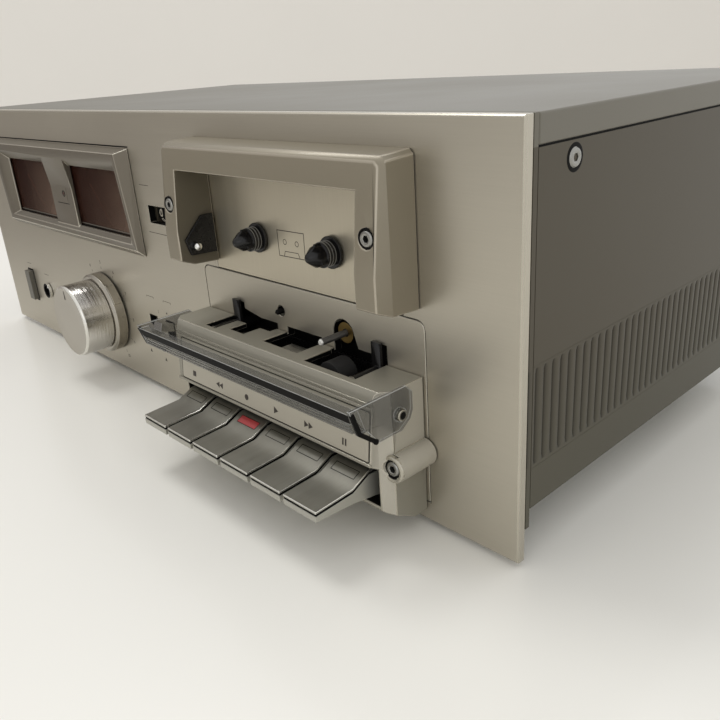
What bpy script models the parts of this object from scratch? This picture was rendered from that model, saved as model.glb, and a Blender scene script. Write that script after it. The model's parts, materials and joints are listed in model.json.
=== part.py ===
"""Stereo cassette deck of the 1970s with a side-by-side cassette bay, piano keys and a smoked visor.

Metres, +Z up. The deck is drawn in its own frame: X to the right along the faceplate, Y into the depth
from the faceplate's front surface, Z up from the table. The empty deck_origin then moves all of it, so
that the middle of the deck's footprint stands at the world's origin.
"""
from math import acos, atan2, cos, degrees, hypot, pi, radians, sin

import bmesh
import bpy
from mathutils import Vector

# Clearances
GAP = 0.0003              # between pieces that touch or seat on each other
OVERRUN = 0.002           # how far a cutter runs past the surface that it opens
OVERLAP = 0.0008          # how far two shapes of one solid run into each other

# Faceplate and the frame behind it
PLATE_WIDTH = 0.420
PLATE_HEIGHT = 0.138
PLATE_THICK = 0.0035
PLATE_LIFT = 0.002        # faceplate's lower edge above the table
PLATE_BEVEL = 0.0006
FRAME_THICK = 0.002
FRAME_RISE = 0.0115       # frame's lower edge above the faceplate's

# Cabinet
CABINET_DEPTH = 0.205     # faceplate's front to the cabinet's rear
COVER_THICK = 0.0012
COVER_FLANGE = 0.0084     # height of the top cover's side flange
COVER_SEAM = 0.0005
SIDE_THICK = 0.003
SIDE_BOTTOM = 0.0202
REAR_THICK = 0.0012
CHASSIS_THICK = 0.0012
CHASSIS_FLANGE = 0.014
FOOT_HEIGHT = 0.0162
FOOT_RADIUS = 0.011
FOOT_TAPER = 0.0015
FOOT_INSET_X = 0.040
FOOT_INSET_Y = 0.030
RIB_PITCH = 0.00445
RIB_GROOVE = 0.0015
RIB_DEPTH = 0.0009
RIB_BOTTOM = 0.0355
RIB_TOP = 0.0683
RIB_MARGIN = 0.002

# Screws: one pattern for the cabinet's side, the hood and the boss
SCREW_HEAD_RADIUS = 0.0029
SCREW_HEAD_HEIGHT = 0.0016
SCREW_SHANK_RADIUS = 0.0014
SCREW_SOCKET_RADIUS = 0.0013
SCREW_SOCKET_DEPTH = 0.0009
SCREW_SINK = 0.0004       # head's face below the surface round it
SIDE_SCREW_LENGTH = 0.005
SIDE_SCREW_INSET = 0.0237
SIDE_SCREW_DROP = 0.0048  # below the side panel's upper edge
HOOD_SCREW_LENGTH = 0.010
HOOD_SCREW_Z = 0.1063
BOSS_SCREW_LENGTH = 0.011

# Meters
BEZEL_LEFT = -0.172
BEZEL_RIGHT = -0.006
BEZEL_Z_SHARE = 0.4481    # its lower edge, as a share of the height between chassis and top
BEZEL_HEIGHT = 0.051
BEZEL_REACH_TOP = 0.006
BEZEL_REACH_BOTTOM = 0.0035
BEZEL_SLOPE_TOP = 0.0038  # how far the rim stands in from the bezel's edge, at its top and its bottom
BEZEL_SLOPE_BOTTOM = 0.0016
BEZEL_RIM = 0.0011
BEZEL_FLOOR = 0.0009
WINDOW_WIDTH = 0.0575
WINDOW_HEIGHT = 0.0315
WINDOW_RISE = 0.0085      # windows' lower edge above the bezel's
WINDOW_PILLAR = 0.0275
WINDOWS_X = -0.08725
PILLAR_REST_SHARE = 0.62  # height share of the windows where the pillar's slope ends
METER_HOLE_MARGIN = 0.006
METER_GLASS = 0.0012
METER_DEPTH = 0.022
METER_WALL = 0.0014
METER_SCALE_DEPTH = 0.006
NEEDLE_LENGTH = 0.031
NEEDLE_WIDTH = 0.0009
NEEDLE_THICK = 0.0007
NEEDLE_HUB_RADIUS = 0.0019
NEEDLE_REST = 40          # degrees left of upright
NEEDLE_TIP_SHARE = 0.5

# Controls left of the cassette bay
POWER_X_SHARE = -0.8107   # places across, as shares of half the plate's width from its middle
POWER_Z_SHARE = 0.1104    # heights, as shares of the height between chassis and top
POWER_WIDTH = 0.0069
POWER_HEIGHT = 0.0191
POWER_REACH = 0.003
POWER_LENGTH = 0.013
JACK_STEP = 0.02565       # from the power button's middle to the jack's
JACK_Z_SHARE = 0.1128
JACK_BORE_RADIUS = 0.00325
JACK_NECK_RADIUS = 0.0040
JACK_NUT_RADIUS = 0.0047
JACK_NUT_HEIGHT = 0.0017
JACK_BODY_RADIUS = 0.0062
JACK_DEPTH = 0.018
JACK_BORE_DEPTH = 0.016
KNOB_X_SHARE = -0.2914
KNOB_Z_SHARE = 0.1374
KNOB_RADIUS = 0.0193
KNOB_REACH = 0.023
KNOB_BEVEL = 0.0007
KNOB_SHAFT_RADIUS = 0.003
KNOB_SHAFT_DEPTH = 0.012
RING_RADIUS = 0.0218
RING_REACH = 0.0071
RING_FOOT = 0.0008
RING_CHAMFER = 0.0012
RING_SLEEVE_RADIUS = 0.005
RING_LUG_HEIGHT = 0.0012
RING_LUG_ARC = 15         # half the lug's arc in degrees
RING_LUG_ANGLE = 38
POT_RADIUS = 0.012
POT_DEPTH = 0.014
LEVER_XS = (-0.0103, 0.006)
LEVER_Z_SHARE = 0.1603
LEVER_WIDTH = 0.007
LEVER_THICK = 0.004
LEVER_REACH = 0.0075
LEVER_PIVOT_Y = 0.0075
LEVER_TAIL = 0.003
LEVER_ANGLE = 17
LEVER_SLOT_MARGIN = 0.0005

# Tape counter
COUNTER_X_SHARE = 0.3783  # its middle, as a share of the way from the bezel to the hood
COUNTER_Z_SHARE = 0.628
COUNTER_WINDOW_WIDTH = 0.0225
COUNTER_WINDOW_HEIGHT = 0.0081
WHEEL_RADIUS = 0.007
WHEEL_WIDTH = 0.0062
WHEEL_PITCH = 0.0067
WHEEL_AXLE_RADIUS = 0.001
WHEEL_NAMES = ("hundreds", "tens", "units")
COUNTER_WALL = 0.0012
RESET_X_SHARE = 0.448     # its middle, as a share of the way from the counter's window to the hood
RESET_RADIUS = 0.0031
RESET_REACH = 0.004
RESET_LENGTH = 0.012

# Cassette bay
BAY_X_SHARE = 0.5262      # middle of the cassette, as a share of half the plate's width
CASSETTE_WIDTH = 0.1004
CASSETTE_PLAY = 0.0008
HUB_SPACING = 0.0425
SPINDLE_Z = 0.094
HOOD_CHEEK = 0.01025      # hood's side walls, beside the cassette
HOOD_BOTTOM = 0.0808
HOOD_TOP = 0.1305
HOOD_SHOULDER = 0.0122    # depth at which the hood's sides end and its front begins
HOOD_REACH_TOP = 0.0145
HOOD_REACH_LEG = 0.0182
HOOD_CREASE_Z = 0.0945
HOOD_EDGE_Z = 0.1283
HOOD_SIDE_CHAMFER = 0.0012
HOOD_TOP_FALL = 0.0007
HOOD_CORNER = 0.0016
HOOD_FOOT_RISE = 0.0008
HOOD_FOOT_FRONT_RISE = 0.0032
HOOD_CEILING = 0.1232
HOOD_LIP = 0.0035         # how far the lip hangs in front of the cassette
HOOD_LIP_THICK = 0.002
SPINDLE_PLATE_THICK = 0.002
SPINDLE_PLATE_MARGIN = 0.0026
SPINDLE_PLATE_TOP = 0.127
SPINDLE_REACH = 0.0123
SPINDLE_FLANGE_RADIUS = 0.0058
SPINDLE_FLANGE_HEIGHT = 0.0013
SPINDLE_BODY_RADIUS = 0.0037
SPINDLE_TIP_RADIUS = 0.0014
SPINDLE_FIN_RADIUS = 0.0044
SPINDLE_TIP_HEIGHT = 0.0040
SPINDLE_FIN_WIDTH = 0.0009
SPINDLE_FINS = 3
SPINDLE_NECK_RADIUS = 0.003
SPINDLE_DISC_RADIUS = 0.013
SPINDLE_DISC_HEIGHT = 0.0032
SPINDLE_SHAFT_RADIUS = 0.002
GUIDE_THICK = 0.0014
GUIDE_BOTTOM = 0.0852
GUIDE_HEIGHT = 0.0158
GUIDE_REACH = 0.0158
GUIDE_BACK = 0.0018
GUIDE_SHARES = ((0.0, 0.0), (0.86, 0.04), (1.0, 0.45), (0.38, 1.0), (0.0, 1.0))

# Head housing: insert plate, block with a shelf, screw boss and visor pins
INSERT_LEFT_SIDE = 0.0647 # its left and right edges from the cassette's middle
INSERT_RIGHT_SIDE = 0.0627
INSERT_BOTTOM = 0.0100
INSERT_TOP = 0.0768
INSERT_CORNER = 0.003
BLOCK_LEFT_SIDE = 0.0647
BLOCK_RIGHT_SIDE = 0.0615
BLOCK_BOTTOM = 0.0068
SHELF_Z = 0.0578
SHELF_THICK = 0.002
BLOCK_REACH = 0.019
BLOCK_CORNER = 0.0036
BLOCK_TOE = 0.0065        # depth of the flat under the block
BLOCK_TOE_RISE = 0.0062
LIP_REACH = 0.0035        # how far the lip over the keys stands in front of the block
LIP_Z = 0.0322
LIP_HEIGHT = 0.0024
BLOCK_EDGE = 0.0009
BLOCK_WALL = 0.0042
BLOCK_FRONT_WALL = 0.0022
KEYWAY_FLOOR = 0.0152
KEYWAY_ROOF = 0.0298
CUT_EDGE = 0.0152         # depth of the shelf's cut-outs from the insert plate
LEFT_CUT_WIDTH = 0.029
LEFT_CUT_BACK = 0.004
LEFT_CUT_RISE = 0.004     # height of its sloped end in the insert plate
ERASE_CUT_OFFSET = -0.0271  # from the cassette's middle, as are the offsets below
ERASE_CUT_WIDTH = 0.0094
HEAD_CUT_WIDTH = 0.0206
HEAD_CUT_DEPTH = 0.0122
HEAD_CUT_OFFSET = 0.0007
RIGHT_CUT_OFFSET = 0.0185 # its left edge
ROD_CUT_MARGIN = 0.0012
ROD_NOTCH_TOP = 0.0645
BOSS_OFFSET = 0.0618
BOSS_Z = 0.0305
BOSS_RADIUS = 0.005
BOSS_REACH = 0.017
BOSS_BORE_DEPTH = 0.0022
VISOR_PIN_RADIUS = 0.002
VISOR_PIN_Y = -0.013
VISOR_PIN_Z = 0.0494
VISOR_PIN_LENGTH = 0.0026

# Visor
VISOR_THICK = 0.0012
VISOR_RUN_GAP = 0.0006    # between the block's side and the visor's arm
VISOR_TOP = 0.0587
VISOR_BACK = 0.0057       # arm behind the pin
VISOR_FRONT = 0.022       # bar's front before the pin
VISOR_BAR_THICK = 0.004
VISOR_RAKE = 0.003        # how far the bar's lower edge stands back from its upper edge
VISOR_BAR_TOP = 0.0572
VISOR_BAR_BOTTOM = 0.0494
VISOR_HEEL = 0.0100       # depth of the arm's lower edge before the pin
VISOR_BELLY = 0.0436

# Piano keys
KEYS_OFFSET = -0.0015     # middle of the row
KEY_PITCH = 0.0186
KEY_WIDTH = 0.0172
KEY_REACH = 0.0437
KEY_FRONT_TOP = 0.0238
KEY_FRONT_HEIGHT = 0.0039
KEY_CREASE_Y = -0.0272
KEY_CREASE_TOP = 0.0246
KEY_CREASE_BOTTOM = 0.0189
KEY_SLOPE_Y = -0.0196
KEY_BACK_TOP = 0.0282
KEY_BACK_BOTTOM = 0.0170
KEY_HEEL_Y = -0.0153
KEY_TAIL_Y = 0.002
KEY_PIVOT_Y = -0.008
KEY_PIVOT_Z = 0.0222
KEY_SHAFT_RADIUS = 0.002
KEY_NAMES = ("stop", "rewind", "record", "play", "forward", "pause")

# Mechanism
MECH_Y = 0.009            # mechanism plate's front
MECH_THICK = 0.0015
MECH_BOTTOM = 0.034
MECH_DROP = 0.014         # plate's upper edge below the deck's top
MECH_MARGIN = 0.0105      # how far the plate runs past the bay's opening on each side
STANDOFF_RADIUS = 0.003
STANDOFF_INSET = 0.005
FRAME_BAY_MARGIN = 0.0015
CAPSTAN_OFFSET = 0.0235
CAPSTAN_Z = 0.0643
CAPSTAN_RADIUS = 0.00125
CAPSTAN_REACH = 0.0113
CAPSTAN_TIP_SHARE = 0.7
CAPSTAN_HOLE_RADIUS = 0.0054
GUIDE_PIN_OFFSET = -0.0126
GUIDE_PIN_Z = 0.0657
GUIDE_PIN_RADIUS = 0.0011
GUIDE_PIN_REACH = 0.0030
CAPSTAN_SLOT_WIDTH = 0.0148
CAPSTAN_SLOT_ANGLE = 30   # degrees above the level, where the slot leaves the hole
BEARING_RADIUS = 0.004
BEARING_FRONT = 0.001
BEARING_BACK = 0.031
FLYWHEEL_RADIUS = 0.030
FLYWHEEL_Y = 0.035
FLYWHEEL_HEIGHT = 0.008
FLYWHEEL_TAIL = 0.003
MOTOR_OFFSET = -0.0325
MOTOR_Z = 0.066
MOTOR_RADIUS = 0.017
MOTOR_LENGTH = 0.0235
MOTOR_BORE_DEPTH = 0.006
PULLEY_RADIUS = 0.005
PULLEY_SHAFT_RADIUS = 0.001
BELT_WIDTH = 0.003
BELT_THICK = 0.0012
CARRIAGE_THICK = 0.0018
CARRIAGE_BOTTOM = 0.0362
CARRIAGE_TOP = 0.0520
CARRIAGE_MARGIN = 0.004
CARRIAGE_SHELF_Z = 0.0420
CARRIAGE_SHELF_THICK = 0.0015
ROD_SPREAD = 0.0828       # distance between the two guide rods
ROD_RADIUS = 0.0024
ROD_Z = 0.0546
ROD_REACH = 0.0144
POST_WIDTH = 0.0044
POST_FRONT = 0.0018
POST_BACK = 0.0004
POST_TOP = 0.0656
HEAD_WIDTH = 0.0124
HEAD_DEPTH = 0.0076
HEAD_TOP = 0.0556
HEAD_OFFSET = 0.0035
HEAD_FRONT = 0.0114
ERASE_WIDTH = 0.0080
ERASE_DEPTH = 0.0070
ERASE_TOP = 0.0550
ROLLER_OFFSET = 0.0270
ROLLER_Z = 0.0515
ROLLER_RADIUS = 0.0062
ROLLER_FRONT = 0.011
ROLLER_WIDTH = 0.0082
ROLLER_AXLE_RADIUS = 0.0012
ARM_PIVOT_OFFSET = 0.0357
ARM_PIVOT_Z = 0.0442
ARM_THICK = 0.0013
ARM_HALF_WIDTH = 0.0024
ARM_SHAFT_RADIUS = 0.0018

# Electronics
SOCKET_COUNT = 4
SOCKET_PITCH = 0.018
SOCKET_RADIUS = 0.0042
SOCKET_BORE_RADIUS = 0.0017
SOCKET_REACH = 0.008
SOCKET_PLATE_HEIGHT = 0.022
SOCKET_PLATE_THICK = 0.0015
SOCKETS_X = 0.120
SOCKETS_Z = 0.055
SOCKET_MARGIN = 0.012
GLAND_X = -0.150
GLAND_Z = 0.045
GLAND_RADIUS = 0.006
GLAND_REACH = 0.006
GLAND_BORE_RADIUS = 0.0032
TRANSFORMER_WIDTH = 0.062
TRANSFORMER_DEPTH = 0.050
TRANSFORMER_HEIGHT = 0.046
TRANSFORMER_BOBBIN = 0.008
TRANSFORMER_SIDE = 0.0207 # beside it to the side panel
TRANSFORMER_REAR = 0.014  # behind it to the rear panel
BOARD_WIDTH = 0.170
BOARD_THICK = 0.0016
BOARD_RISE = 0.007
BOARD_CLEAR = 0.029       # between it and the transformer
BOARD_FRONT = 0.072
BOARD_REAR = 0.012
BOARD_LEG_RADIUS = 0.003
BOARD_LEG_INSET = 0.008

# How finely round shapes are drawn
STEPS_LARGE = 36
STEPS = 20
STEPS_SMALL = 12
HEX_STEPS = 6
CORNER_STEPS = 3
SMOOTH_ANGLE = radians(35)

# Worked out from the sizes above
TOP_Z = PLATE_LIFT + PLATE_HEIGHT
HALF_WIDTH = PLATE_WIDTH / 2
FRAME_Y = PLATE_THICK + GAP
CABINET_Y = FRAME_Y + FRAME_THICK + GAP
CHASSIS_Z = FOOT_HEIGHT + GAP
CHASSIS_TOP = CHASSIS_Z + CHASSIS_THICK
INNER_HALF = HALF_WIDTH - SIDE_THICK - GAP
REAR_Y = CABINET_DEPTH - REAR_THICK
MECH_BACK = MECH_Y + MECH_THICK
MECH_TOP = TOP_Z - MECH_DROP
ROOM_HEIGHT = TOP_Z - CHASSIS_TOP
BEZEL_BOTTOM = CHASSIS_TOP + BEZEL_Z_SHARE * ROOM_HEIGHT
BEZEL_TOP = BEZEL_BOTTOM + BEZEL_HEIGHT
WINDOW_BOTTOM = BEZEL_BOTTOM + WINDOW_RISE
POWER_X = POWER_X_SHARE * HALF_WIDTH
POWER_Z = CHASSIS_TOP + POWER_Z_SHARE * ROOM_HEIGHT
JACK_X = POWER_X + JACK_STEP
JACK_Z = CHASSIS_TOP + JACK_Z_SHARE * ROOM_HEIGHT
KNOB_X = KNOB_X_SHARE * HALF_WIDTH
KNOB_Z = CHASSIS_TOP + KNOB_Z_SHARE * ROOM_HEIGHT
LEVER_Z = CHASSIS_TOP + LEVER_Z_SHARE * ROOM_HEIGHT
COUNTER_Z = CHASSIS_TOP + COUNTER_Z_SHARE * ROOM_HEIGHT
BAY_X = BAY_X_SHARE * HALF_WIDTH
BAY_LEFT = BAY_X - CASSETTE_WIDTH / 2 - CASSETTE_PLAY
BAY_RIGHT = BAY_X + CASSETTE_WIDTH / 2 + CASSETTE_PLAY
ROD_XS = (BAY_X - ROD_SPREAD / 2, BAY_X + ROD_SPREAD / 2)
SPINDLE_XS = (BAY_X - HUB_SPACING / 2, BAY_X + HUB_SPACING / 2)
HOOD_WIDTH = BAY_RIGHT - BAY_LEFT + 2 * HOOD_CHEEK
HOOD_LEFT = BAY_X - HOOD_WIDTH / 2
COUNTER_X = BEZEL_RIGHT + COUNTER_X_SHARE * (HOOD_LEFT - BEZEL_RIGHT)
COUNTER_RIGHT = COUNTER_X + COUNTER_WINDOW_WIDTH / 2
RESET_X = COUNTER_RIGHT + RESET_X_SHARE * (HOOD_LEFT - COUNTER_RIGHT)
INSERT_LEFT = BAY_X - INSERT_LEFT_SIDE
INSERT_RIGHT = BAY_X + INSERT_RIGHT_SIDE
BLOCK_LEFT = BAY_X - BLOCK_LEFT_SIDE
BLOCK_RIGHT = BAY_X + BLOCK_RIGHT_SIDE
ERASE_CUT_X = BAY_X + ERASE_CUT_OFFSET
HEAD_CUT_X = BAY_X + HEAD_CUT_OFFSET
RIGHT_CUT_LEFT = BAY_X + RIGHT_CUT_OFFSET
BOSS_X = BAY_X + BOSS_OFFSET
KEYS_X = BAY_X + KEYS_OFFSET
CAPSTAN_X = BAY_X + CAPSTAN_OFFSET
GUIDE_PIN_X = BAY_X + GUIDE_PIN_OFFSET
MOTOR_X = BAY_X + MOTOR_OFFSET
HEAD_X = BAY_X + HEAD_OFFSET
ROLLER_X = BAY_X + ROLLER_OFFSET
ARM_PIVOT_X = BAY_X + ARM_PIVOT_OFFSET
TRANSFORMER_X = -INNER_HALF + TRANSFORMER_SIDE + TRANSFORMER_WIDTH / 2
BOARD_X = TRANSFORMER_X + (TRANSFORMER_WIDTH + BOARD_WIDTH) / 2 + BOARD_CLEAR
DEPTH_MIDDLE = (CABINET_DEPTH + SOCKET_REACH - KEY_REACH) / 2

# Finishes: colour, roughness, metallic
CHAMPAGNE = ((0.55, 0.51, 0.44), 0.38, 0.85)
HOOD_METAL = ((0.40, 0.37, 0.31), 0.42, 0.7)
BRIGHT_METAL = ((0.68, 0.64, 0.57), 0.3, 0.95)
POLISHED = ((0.78, 0.77, 0.75), 0.15, 1.0)
STEEL = ((0.52, 0.52, 0.50), 0.4, 0.9)
TOP_PAINT = ((0.50, 0.49, 0.46), 0.5, 0.3)
SIDE_PAINT = ((0.10, 0.095, 0.08), 0.6, 0.1)
BLACK_PLASTIC = ((0.012, 0.012, 0.013), 0.35, 0.0)
GREY_PLASTIC = ((0.17, 0.17, 0.16), 0.45, 0.0)
KEY_METAL = ((0.34, 0.33, 0.30), 0.32, 0.8)
SMOKED = ((0.05, 0.05, 0.055), 0.08, 0.0)
BROWN_GLASS = ((0.07, 0.035, 0.028), 0.1, 0.0)
PAPER = ((0.30, 0.21, 0.16), 0.7, 0.0)
BRASS = ((0.50, 0.36, 0.14), 0.3, 1.0)
RUBBER = ((0.03, 0.03, 0.032), 0.8, 0.0)
BOARD_GREEN = ((0.10, 0.16, 0.06), 0.6, 0.0)
COPPER = ((0.32, 0.14, 0.06), 0.45, 0.6)

AXES = {"x": (1, 2, 0), "y": (0, 2, 1), "z": (0, 1, 2)}


def place(axis, first, second, along):
    """Point with two coordinates across an axis and one along it."""
    point = [0, 0, 0]
    for index, value in zip(AXES[axis], (first, second, along)):
        point[index] = value
    return point


def close(shape):
    """Turn every face of a closed shape outwards."""
    bmesh.ops.recalc_face_normals(shape, faces=shape.faces)
    return shape


def box(low, high):
    """Block between two corners."""
    shape = bmesh.new()
    bmesh.ops.create_cube(shape, size=1)
    for vert in shape.verts:
        vert.co = [lo + (hi - lo) * (share + 1 / 2) for lo, hi, share in zip(low, high, vert.co)]
    return close(shape)


def prism(axis, outline, low, high):
    """Outline across an axis, extruded from low to high along it."""
    shape = bmesh.new()
    ends = [[shape.verts.new(place(axis, a, b, along)) for a, b in outline] for along in (low, high)]
    for ring in ends:
        shape.faces.new(ring)
    for i in range(len(outline)):
        j = (i + 1) % len(outline)
        shape.faces.new((ends[0][i], ends[0][j], ends[1][j], ends[1][i]))
    return close(shape)


def turned(axis, centre, profile, steps, ring=False):
    """Profile of (radius, place along the axis) points, turned round an axis through centre."""
    shape = bmesh.new()
    rows = []
    for radius, along in profile:
        count = steps if radius else 1
        angles = [2 * pi * i / steps for i in range(count)]
        rows.append([shape.verts.new(place(axis, centre[0] + radius * cos(a), centre[1] + radius * sin(a),
                                           along))
                     for a in angles])
    pairs = list(zip(rows, rows[1:])) + ([(rows[-1], rows[0])] if ring else [])
    for lower, upper in pairs:
        for i in range(steps):
            corners = [lower[i % len(lower)], lower[(i + 1) % len(lower)],
                       upper[(i + 1) % len(upper)], upper[i % len(upper)]]
            face = [v for n, v in enumerate(corners) if v not in corners[:n]]
            if len(face) > 2:
                shape.faces.new(face)
    return close(shape)


def rod(axis, centre, radius, low, high, steps=STEPS):
    """Plain cylinder."""
    return turned(axis, centre, [(0, low), (radius, low), (radius, high), (0, high)], steps)


def hull(points):
    """Smallest convex solid round the points."""
    shape = bmesh.new()
    for point in points:
        shape.verts.new(point)
    bmesh.ops.convex_hull(shape, input=shape.verts)
    return close(shape)


def arc(centre, radius, start, end, steps):
    """Points along an arc between two angles in degrees."""
    return [(centre[0] + radius * cos(radians(start + (end - start) * i / steps)),
             centre[1] + radius * sin(radians(start + (end - start) * i / steps))) for i in range(steps + 1)]


def material(name, finish):
    """Principled material of one piece."""
    colour, roughness, metallic = finish
    made = bpy.data.materials.new(name)
    made.use_nodes = True
    shader = made.node_tree.nodes["Principled BSDF"]
    shader.inputs["Base Color"].default_value = (*colour, 1)
    shader.inputs["Roughness"].default_value = roughness
    shader.inputs["Metallic"].default_value = metallic
    made.diffuse_color = (*colour, 1)
    return made


def mesh_object(name, shape, pivot, parent):
    """Object with its origin at the pivot, from a shape drawn in the deck's frame."""
    bmesh.ops.translate(shape, vec=-Vector(pivot), verts=shape.verts)
    mesh = bpy.data.meshes.new(name)
    shape.to_mesh(mesh)
    shape.free()
    made = bpy.data.objects.new(name, mesh)
    made.parent = parent
    bpy.context.collection.objects.link(made)
    return made


def piece(name, finish, shape, add=(), cut=(), refill=(), recut=(), pivot=(0, 0, 0)):
    """One sub-part: a shape, shapes joined to it and cut from it, then more of both after the cuts."""
    made = mesh_object(name, shape, pivot, bpy.data.objects["deck_origin"])
    made.location = pivot
    made.data.materials.append(material(name, finish))
    steps = [("UNION", add), ("DIFFERENCE", cut), ("UNION", refill), ("DIFFERENCE", recut)]
    for operation, tool in [(operation, tool) for operation, tools in steps for tool in tools]:
        helper = mesh_object(f"{name}_tool", tool, pivot, made)
        helper.hide_render = True
        helper.display_type = "WIRE"
        boolean = made.modifiers.new(helper.name, "BOOLEAN")
        boolean.operation = operation
        boolean.solver = "EXACT"
        boolean.object = helper
    made.data.shade_smooth()
    made.data.set_sharp_from_angle(angle=SMOOTH_ANGLE)
    return made


def screw(name, axis, centre, face, inward, length):
    """Socket screw whose head's face lies at face, with its shank going inward (+1 or -1)."""
    head = face + inward * SCREW_HEAD_HEIGHT
    return piece(
        name, STEEL,
        turned(axis, centre, [(0, face), (SCREW_HEAD_RADIUS, face), (SCREW_HEAD_RADIUS, head),
                              (SCREW_SHANK_RADIUS, head), (SCREW_SHANK_RADIUS, face + inward * length),
                              (0, face + inward * length)], STEPS_SMALL),
        cut=[rod(axis, centre, SCREW_SOCKET_RADIUS, face - inward * OVERRUN,
                 face + inward * SCREW_SOCKET_DEPTH,
                 HEX_STEPS)])


def screw_seat(axis, centre, surface, face, inward, length):
    """Counterbore and hole that a screw sits in: head's hole and shank's hole."""
    head = face + inward * (SCREW_HEAD_HEIGHT + GAP)
    end = face + inward * (length + GAP)
    outside = surface - inward * OVERRUN
    return turned(axis, centre, [(0, outside), (SCREW_HEAD_RADIUS + GAP, outside),
                                 (SCREW_HEAD_RADIUS + GAP, head),
                                 (SCREW_SHANK_RADIUS + GAP, head), (SCREW_SHANK_RADIUS + GAP, end), (0, end)],
                  STEPS_SMALL)


def through(outline_box, front, back):
    """Cutter through a plate: a box given by x and z limits."""
    left, right, bottom, top = outline_box
    return box((left, front - OVERRUN, bottom), (right, back + OVERRUN, top))


def wider(outline_box, margin):
    """Limits of a rectangle grown by a margin on each side."""
    left, right, bottom, top = outline_box
    return (left - margin, right + margin, bottom - margin, top + margin)


WINDOWS_HALF = WINDOW_PILLAR / 2 + WINDOW_WIDTH
METER_HOLE = wider((WINDOWS_X - WINDOWS_HALF, WINDOWS_X + WINDOWS_HALF, WINDOW_BOTTOM,
                    WINDOW_BOTTOM + WINDOW_HEIGHT),
                   METER_HOLE_MARGIN)
POWER_HOLE = wider((POWER_X - POWER_WIDTH / 2, POWER_X + POWER_WIDTH / 2,
                    POWER_Z - POWER_HEIGHT / 2, POWER_Z + POWER_HEIGHT / 2), GAP)
COUNTER_HOLE = (COUNTER_X - COUNTER_WINDOW_WIDTH / 2, COUNTER_X + COUNTER_WINDOW_WIDTH / 2,
                COUNTER_Z - COUNTER_WINDOW_HEIGHT / 2, COUNTER_Z + COUNTER_WINDOW_HEIGHT / 2)
WHEELS_HALF = len(WHEEL_NAMES) * WHEEL_PITCH / 2
WHEELS_HOLE = wider((COUNTER_X - WHEELS_HALF, COUNTER_X + WHEELS_HALF, COUNTER_Z - WHEEL_RADIUS,
                     COUNTER_Z + WHEEL_RADIUS), GAP)
SPINDLE_BAY = (BAY_LEFT - SPINDLE_PLATE_MARGIN, BAY_RIGHT + SPINDLE_PLATE_MARGIN,
               INSERT_TOP + GAP - OVERLAP, SPINDLE_PLATE_TOP)
INSERT_BAY = (INSERT_LEFT, INSERT_RIGHT, INSERT_BOTTOM, INSERT_TOP)


def lever_slot(x):
    """Limits of a lever switch's slot: as high as the lever's swing needs at the faceplate's front."""
    swing = LEVER_PIVOT_Y * sin(radians(LEVER_ANGLE)) + LEVER_THICK / 2 / cos(radians(LEVER_ANGLE))
    half = LEVER_WIDTH / 2 + LEVER_SLOT_MARGIN
    height = swing + LEVER_SLOT_MARGIN
    return (x - half, x + half, LEVER_Z - height, LEVER_Z + height)


def insert_outline(margin):
    """Outline of the head housing's plate, with rounded upper corners."""
    left, right, bottom, top = wider(INSERT_BAY, margin)
    corner = INSERT_CORNER + margin
    return ([(left, bottom), (right, bottom)]
            + arc((right - corner, top - corner), corner, 0, 90, CORNER_STEPS)
            + arc((left + corner, top - corner), corner, 90, 180, CORNER_STEPS))


def make_faceplate():
    """Thick front plate with every opening that a control or a bay passes through."""
    front = box((-HALF_WIDTH, 0, PLATE_LIFT), (HALF_WIDTH, PLATE_THICK, TOP_Z))
    edges = [e for e in front.edges if all(v.co.y == 0 for v in e.verts)]
    bmesh.ops.bevel(front, geom=edges, offset=PLATE_BEVEL, segments=1, affect="EDGES")
    cuts = [through(wider(hole, 0), 0, PLATE_THICK) for hole in (METER_HOLE, POWER_HOLE, COUNTER_HOLE)]
    cuts += [through(lever_slot(x), 0, PLATE_THICK) for x in LEVER_XS]
    cuts += [rod("y", (JACK_X, JACK_Z), JACK_NECK_RADIUS + GAP, -OVERRUN, PLATE_THICK + OVERRUN),
             rod("y", (KNOB_X, KNOB_Z), RING_SLEEVE_RADIUS + GAP, -OVERRUN, PLATE_THICK + OVERRUN),
             rod("y", (RESET_X, COUNTER_Z), RESET_RADIUS + GAP, -OVERRUN, PLATE_THICK + OVERRUN),
             prism("y", insert_outline(GAP), -OVERRUN, PLATE_THICK + OVERRUN),
             through(SPINDLE_BAY, 0, PLATE_THICK)]
    piece("faceplate", CHAMPAGNE, front, cut=cuts)


def make_front_frame():
    """Sheet frame right behind the faceplate, which ties it to the cabinet."""
    bottom = PLATE_LIFT + FRAME_RISE
    frame = box((-HALF_WIDTH, FRAME_Y, bottom), (HALF_WIDTH, FRAME_Y + FRAME_THICK, TOP_Z))
    back = FRAME_Y + FRAME_THICK
    bay = (SPINDLE_BAY[0] - FRAME_BAY_MARGIN, SPINDLE_BAY[1] + FRAME_BAY_MARGIN, bottom + FRAME_THICK,
           SPINDLE_PLATE_TOP)
    cuts = [through(hole, FRAME_Y, back) for hole in (METER_HOLE, POWER_HOLE, WHEELS_HOLE, bay)]
    cuts += [through(lever_slot(x), FRAME_Y, back) for x in LEVER_XS]
    cuts += [rod("y", at, radius + GAP, FRAME_Y - OVERRUN, back + OVERRUN) for at, radius in (
        ((JACK_X, JACK_Z), JACK_NECK_RADIUS), ((KNOB_X, KNOB_Z), RING_SLEEVE_RADIUS),
        ((RESET_X, COUNTER_Z), RESET_RADIUS))]
    piece("front_frame", STEEL, frame, cut=cuts)


def channel(half, base, flange, thick, sign):
    """Outline of a U-shaped sheet: its web at base, its flanges going up (+1) or down (-1)."""
    tip = base + sign * flange
    inside = base + sign * thick
    return [(-half, base), (half, base), (half, tip), (half - thick, tip), (half - thick, inside),
            (thick - half, inside), (thick - half, tip), (-half, tip)]


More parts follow.
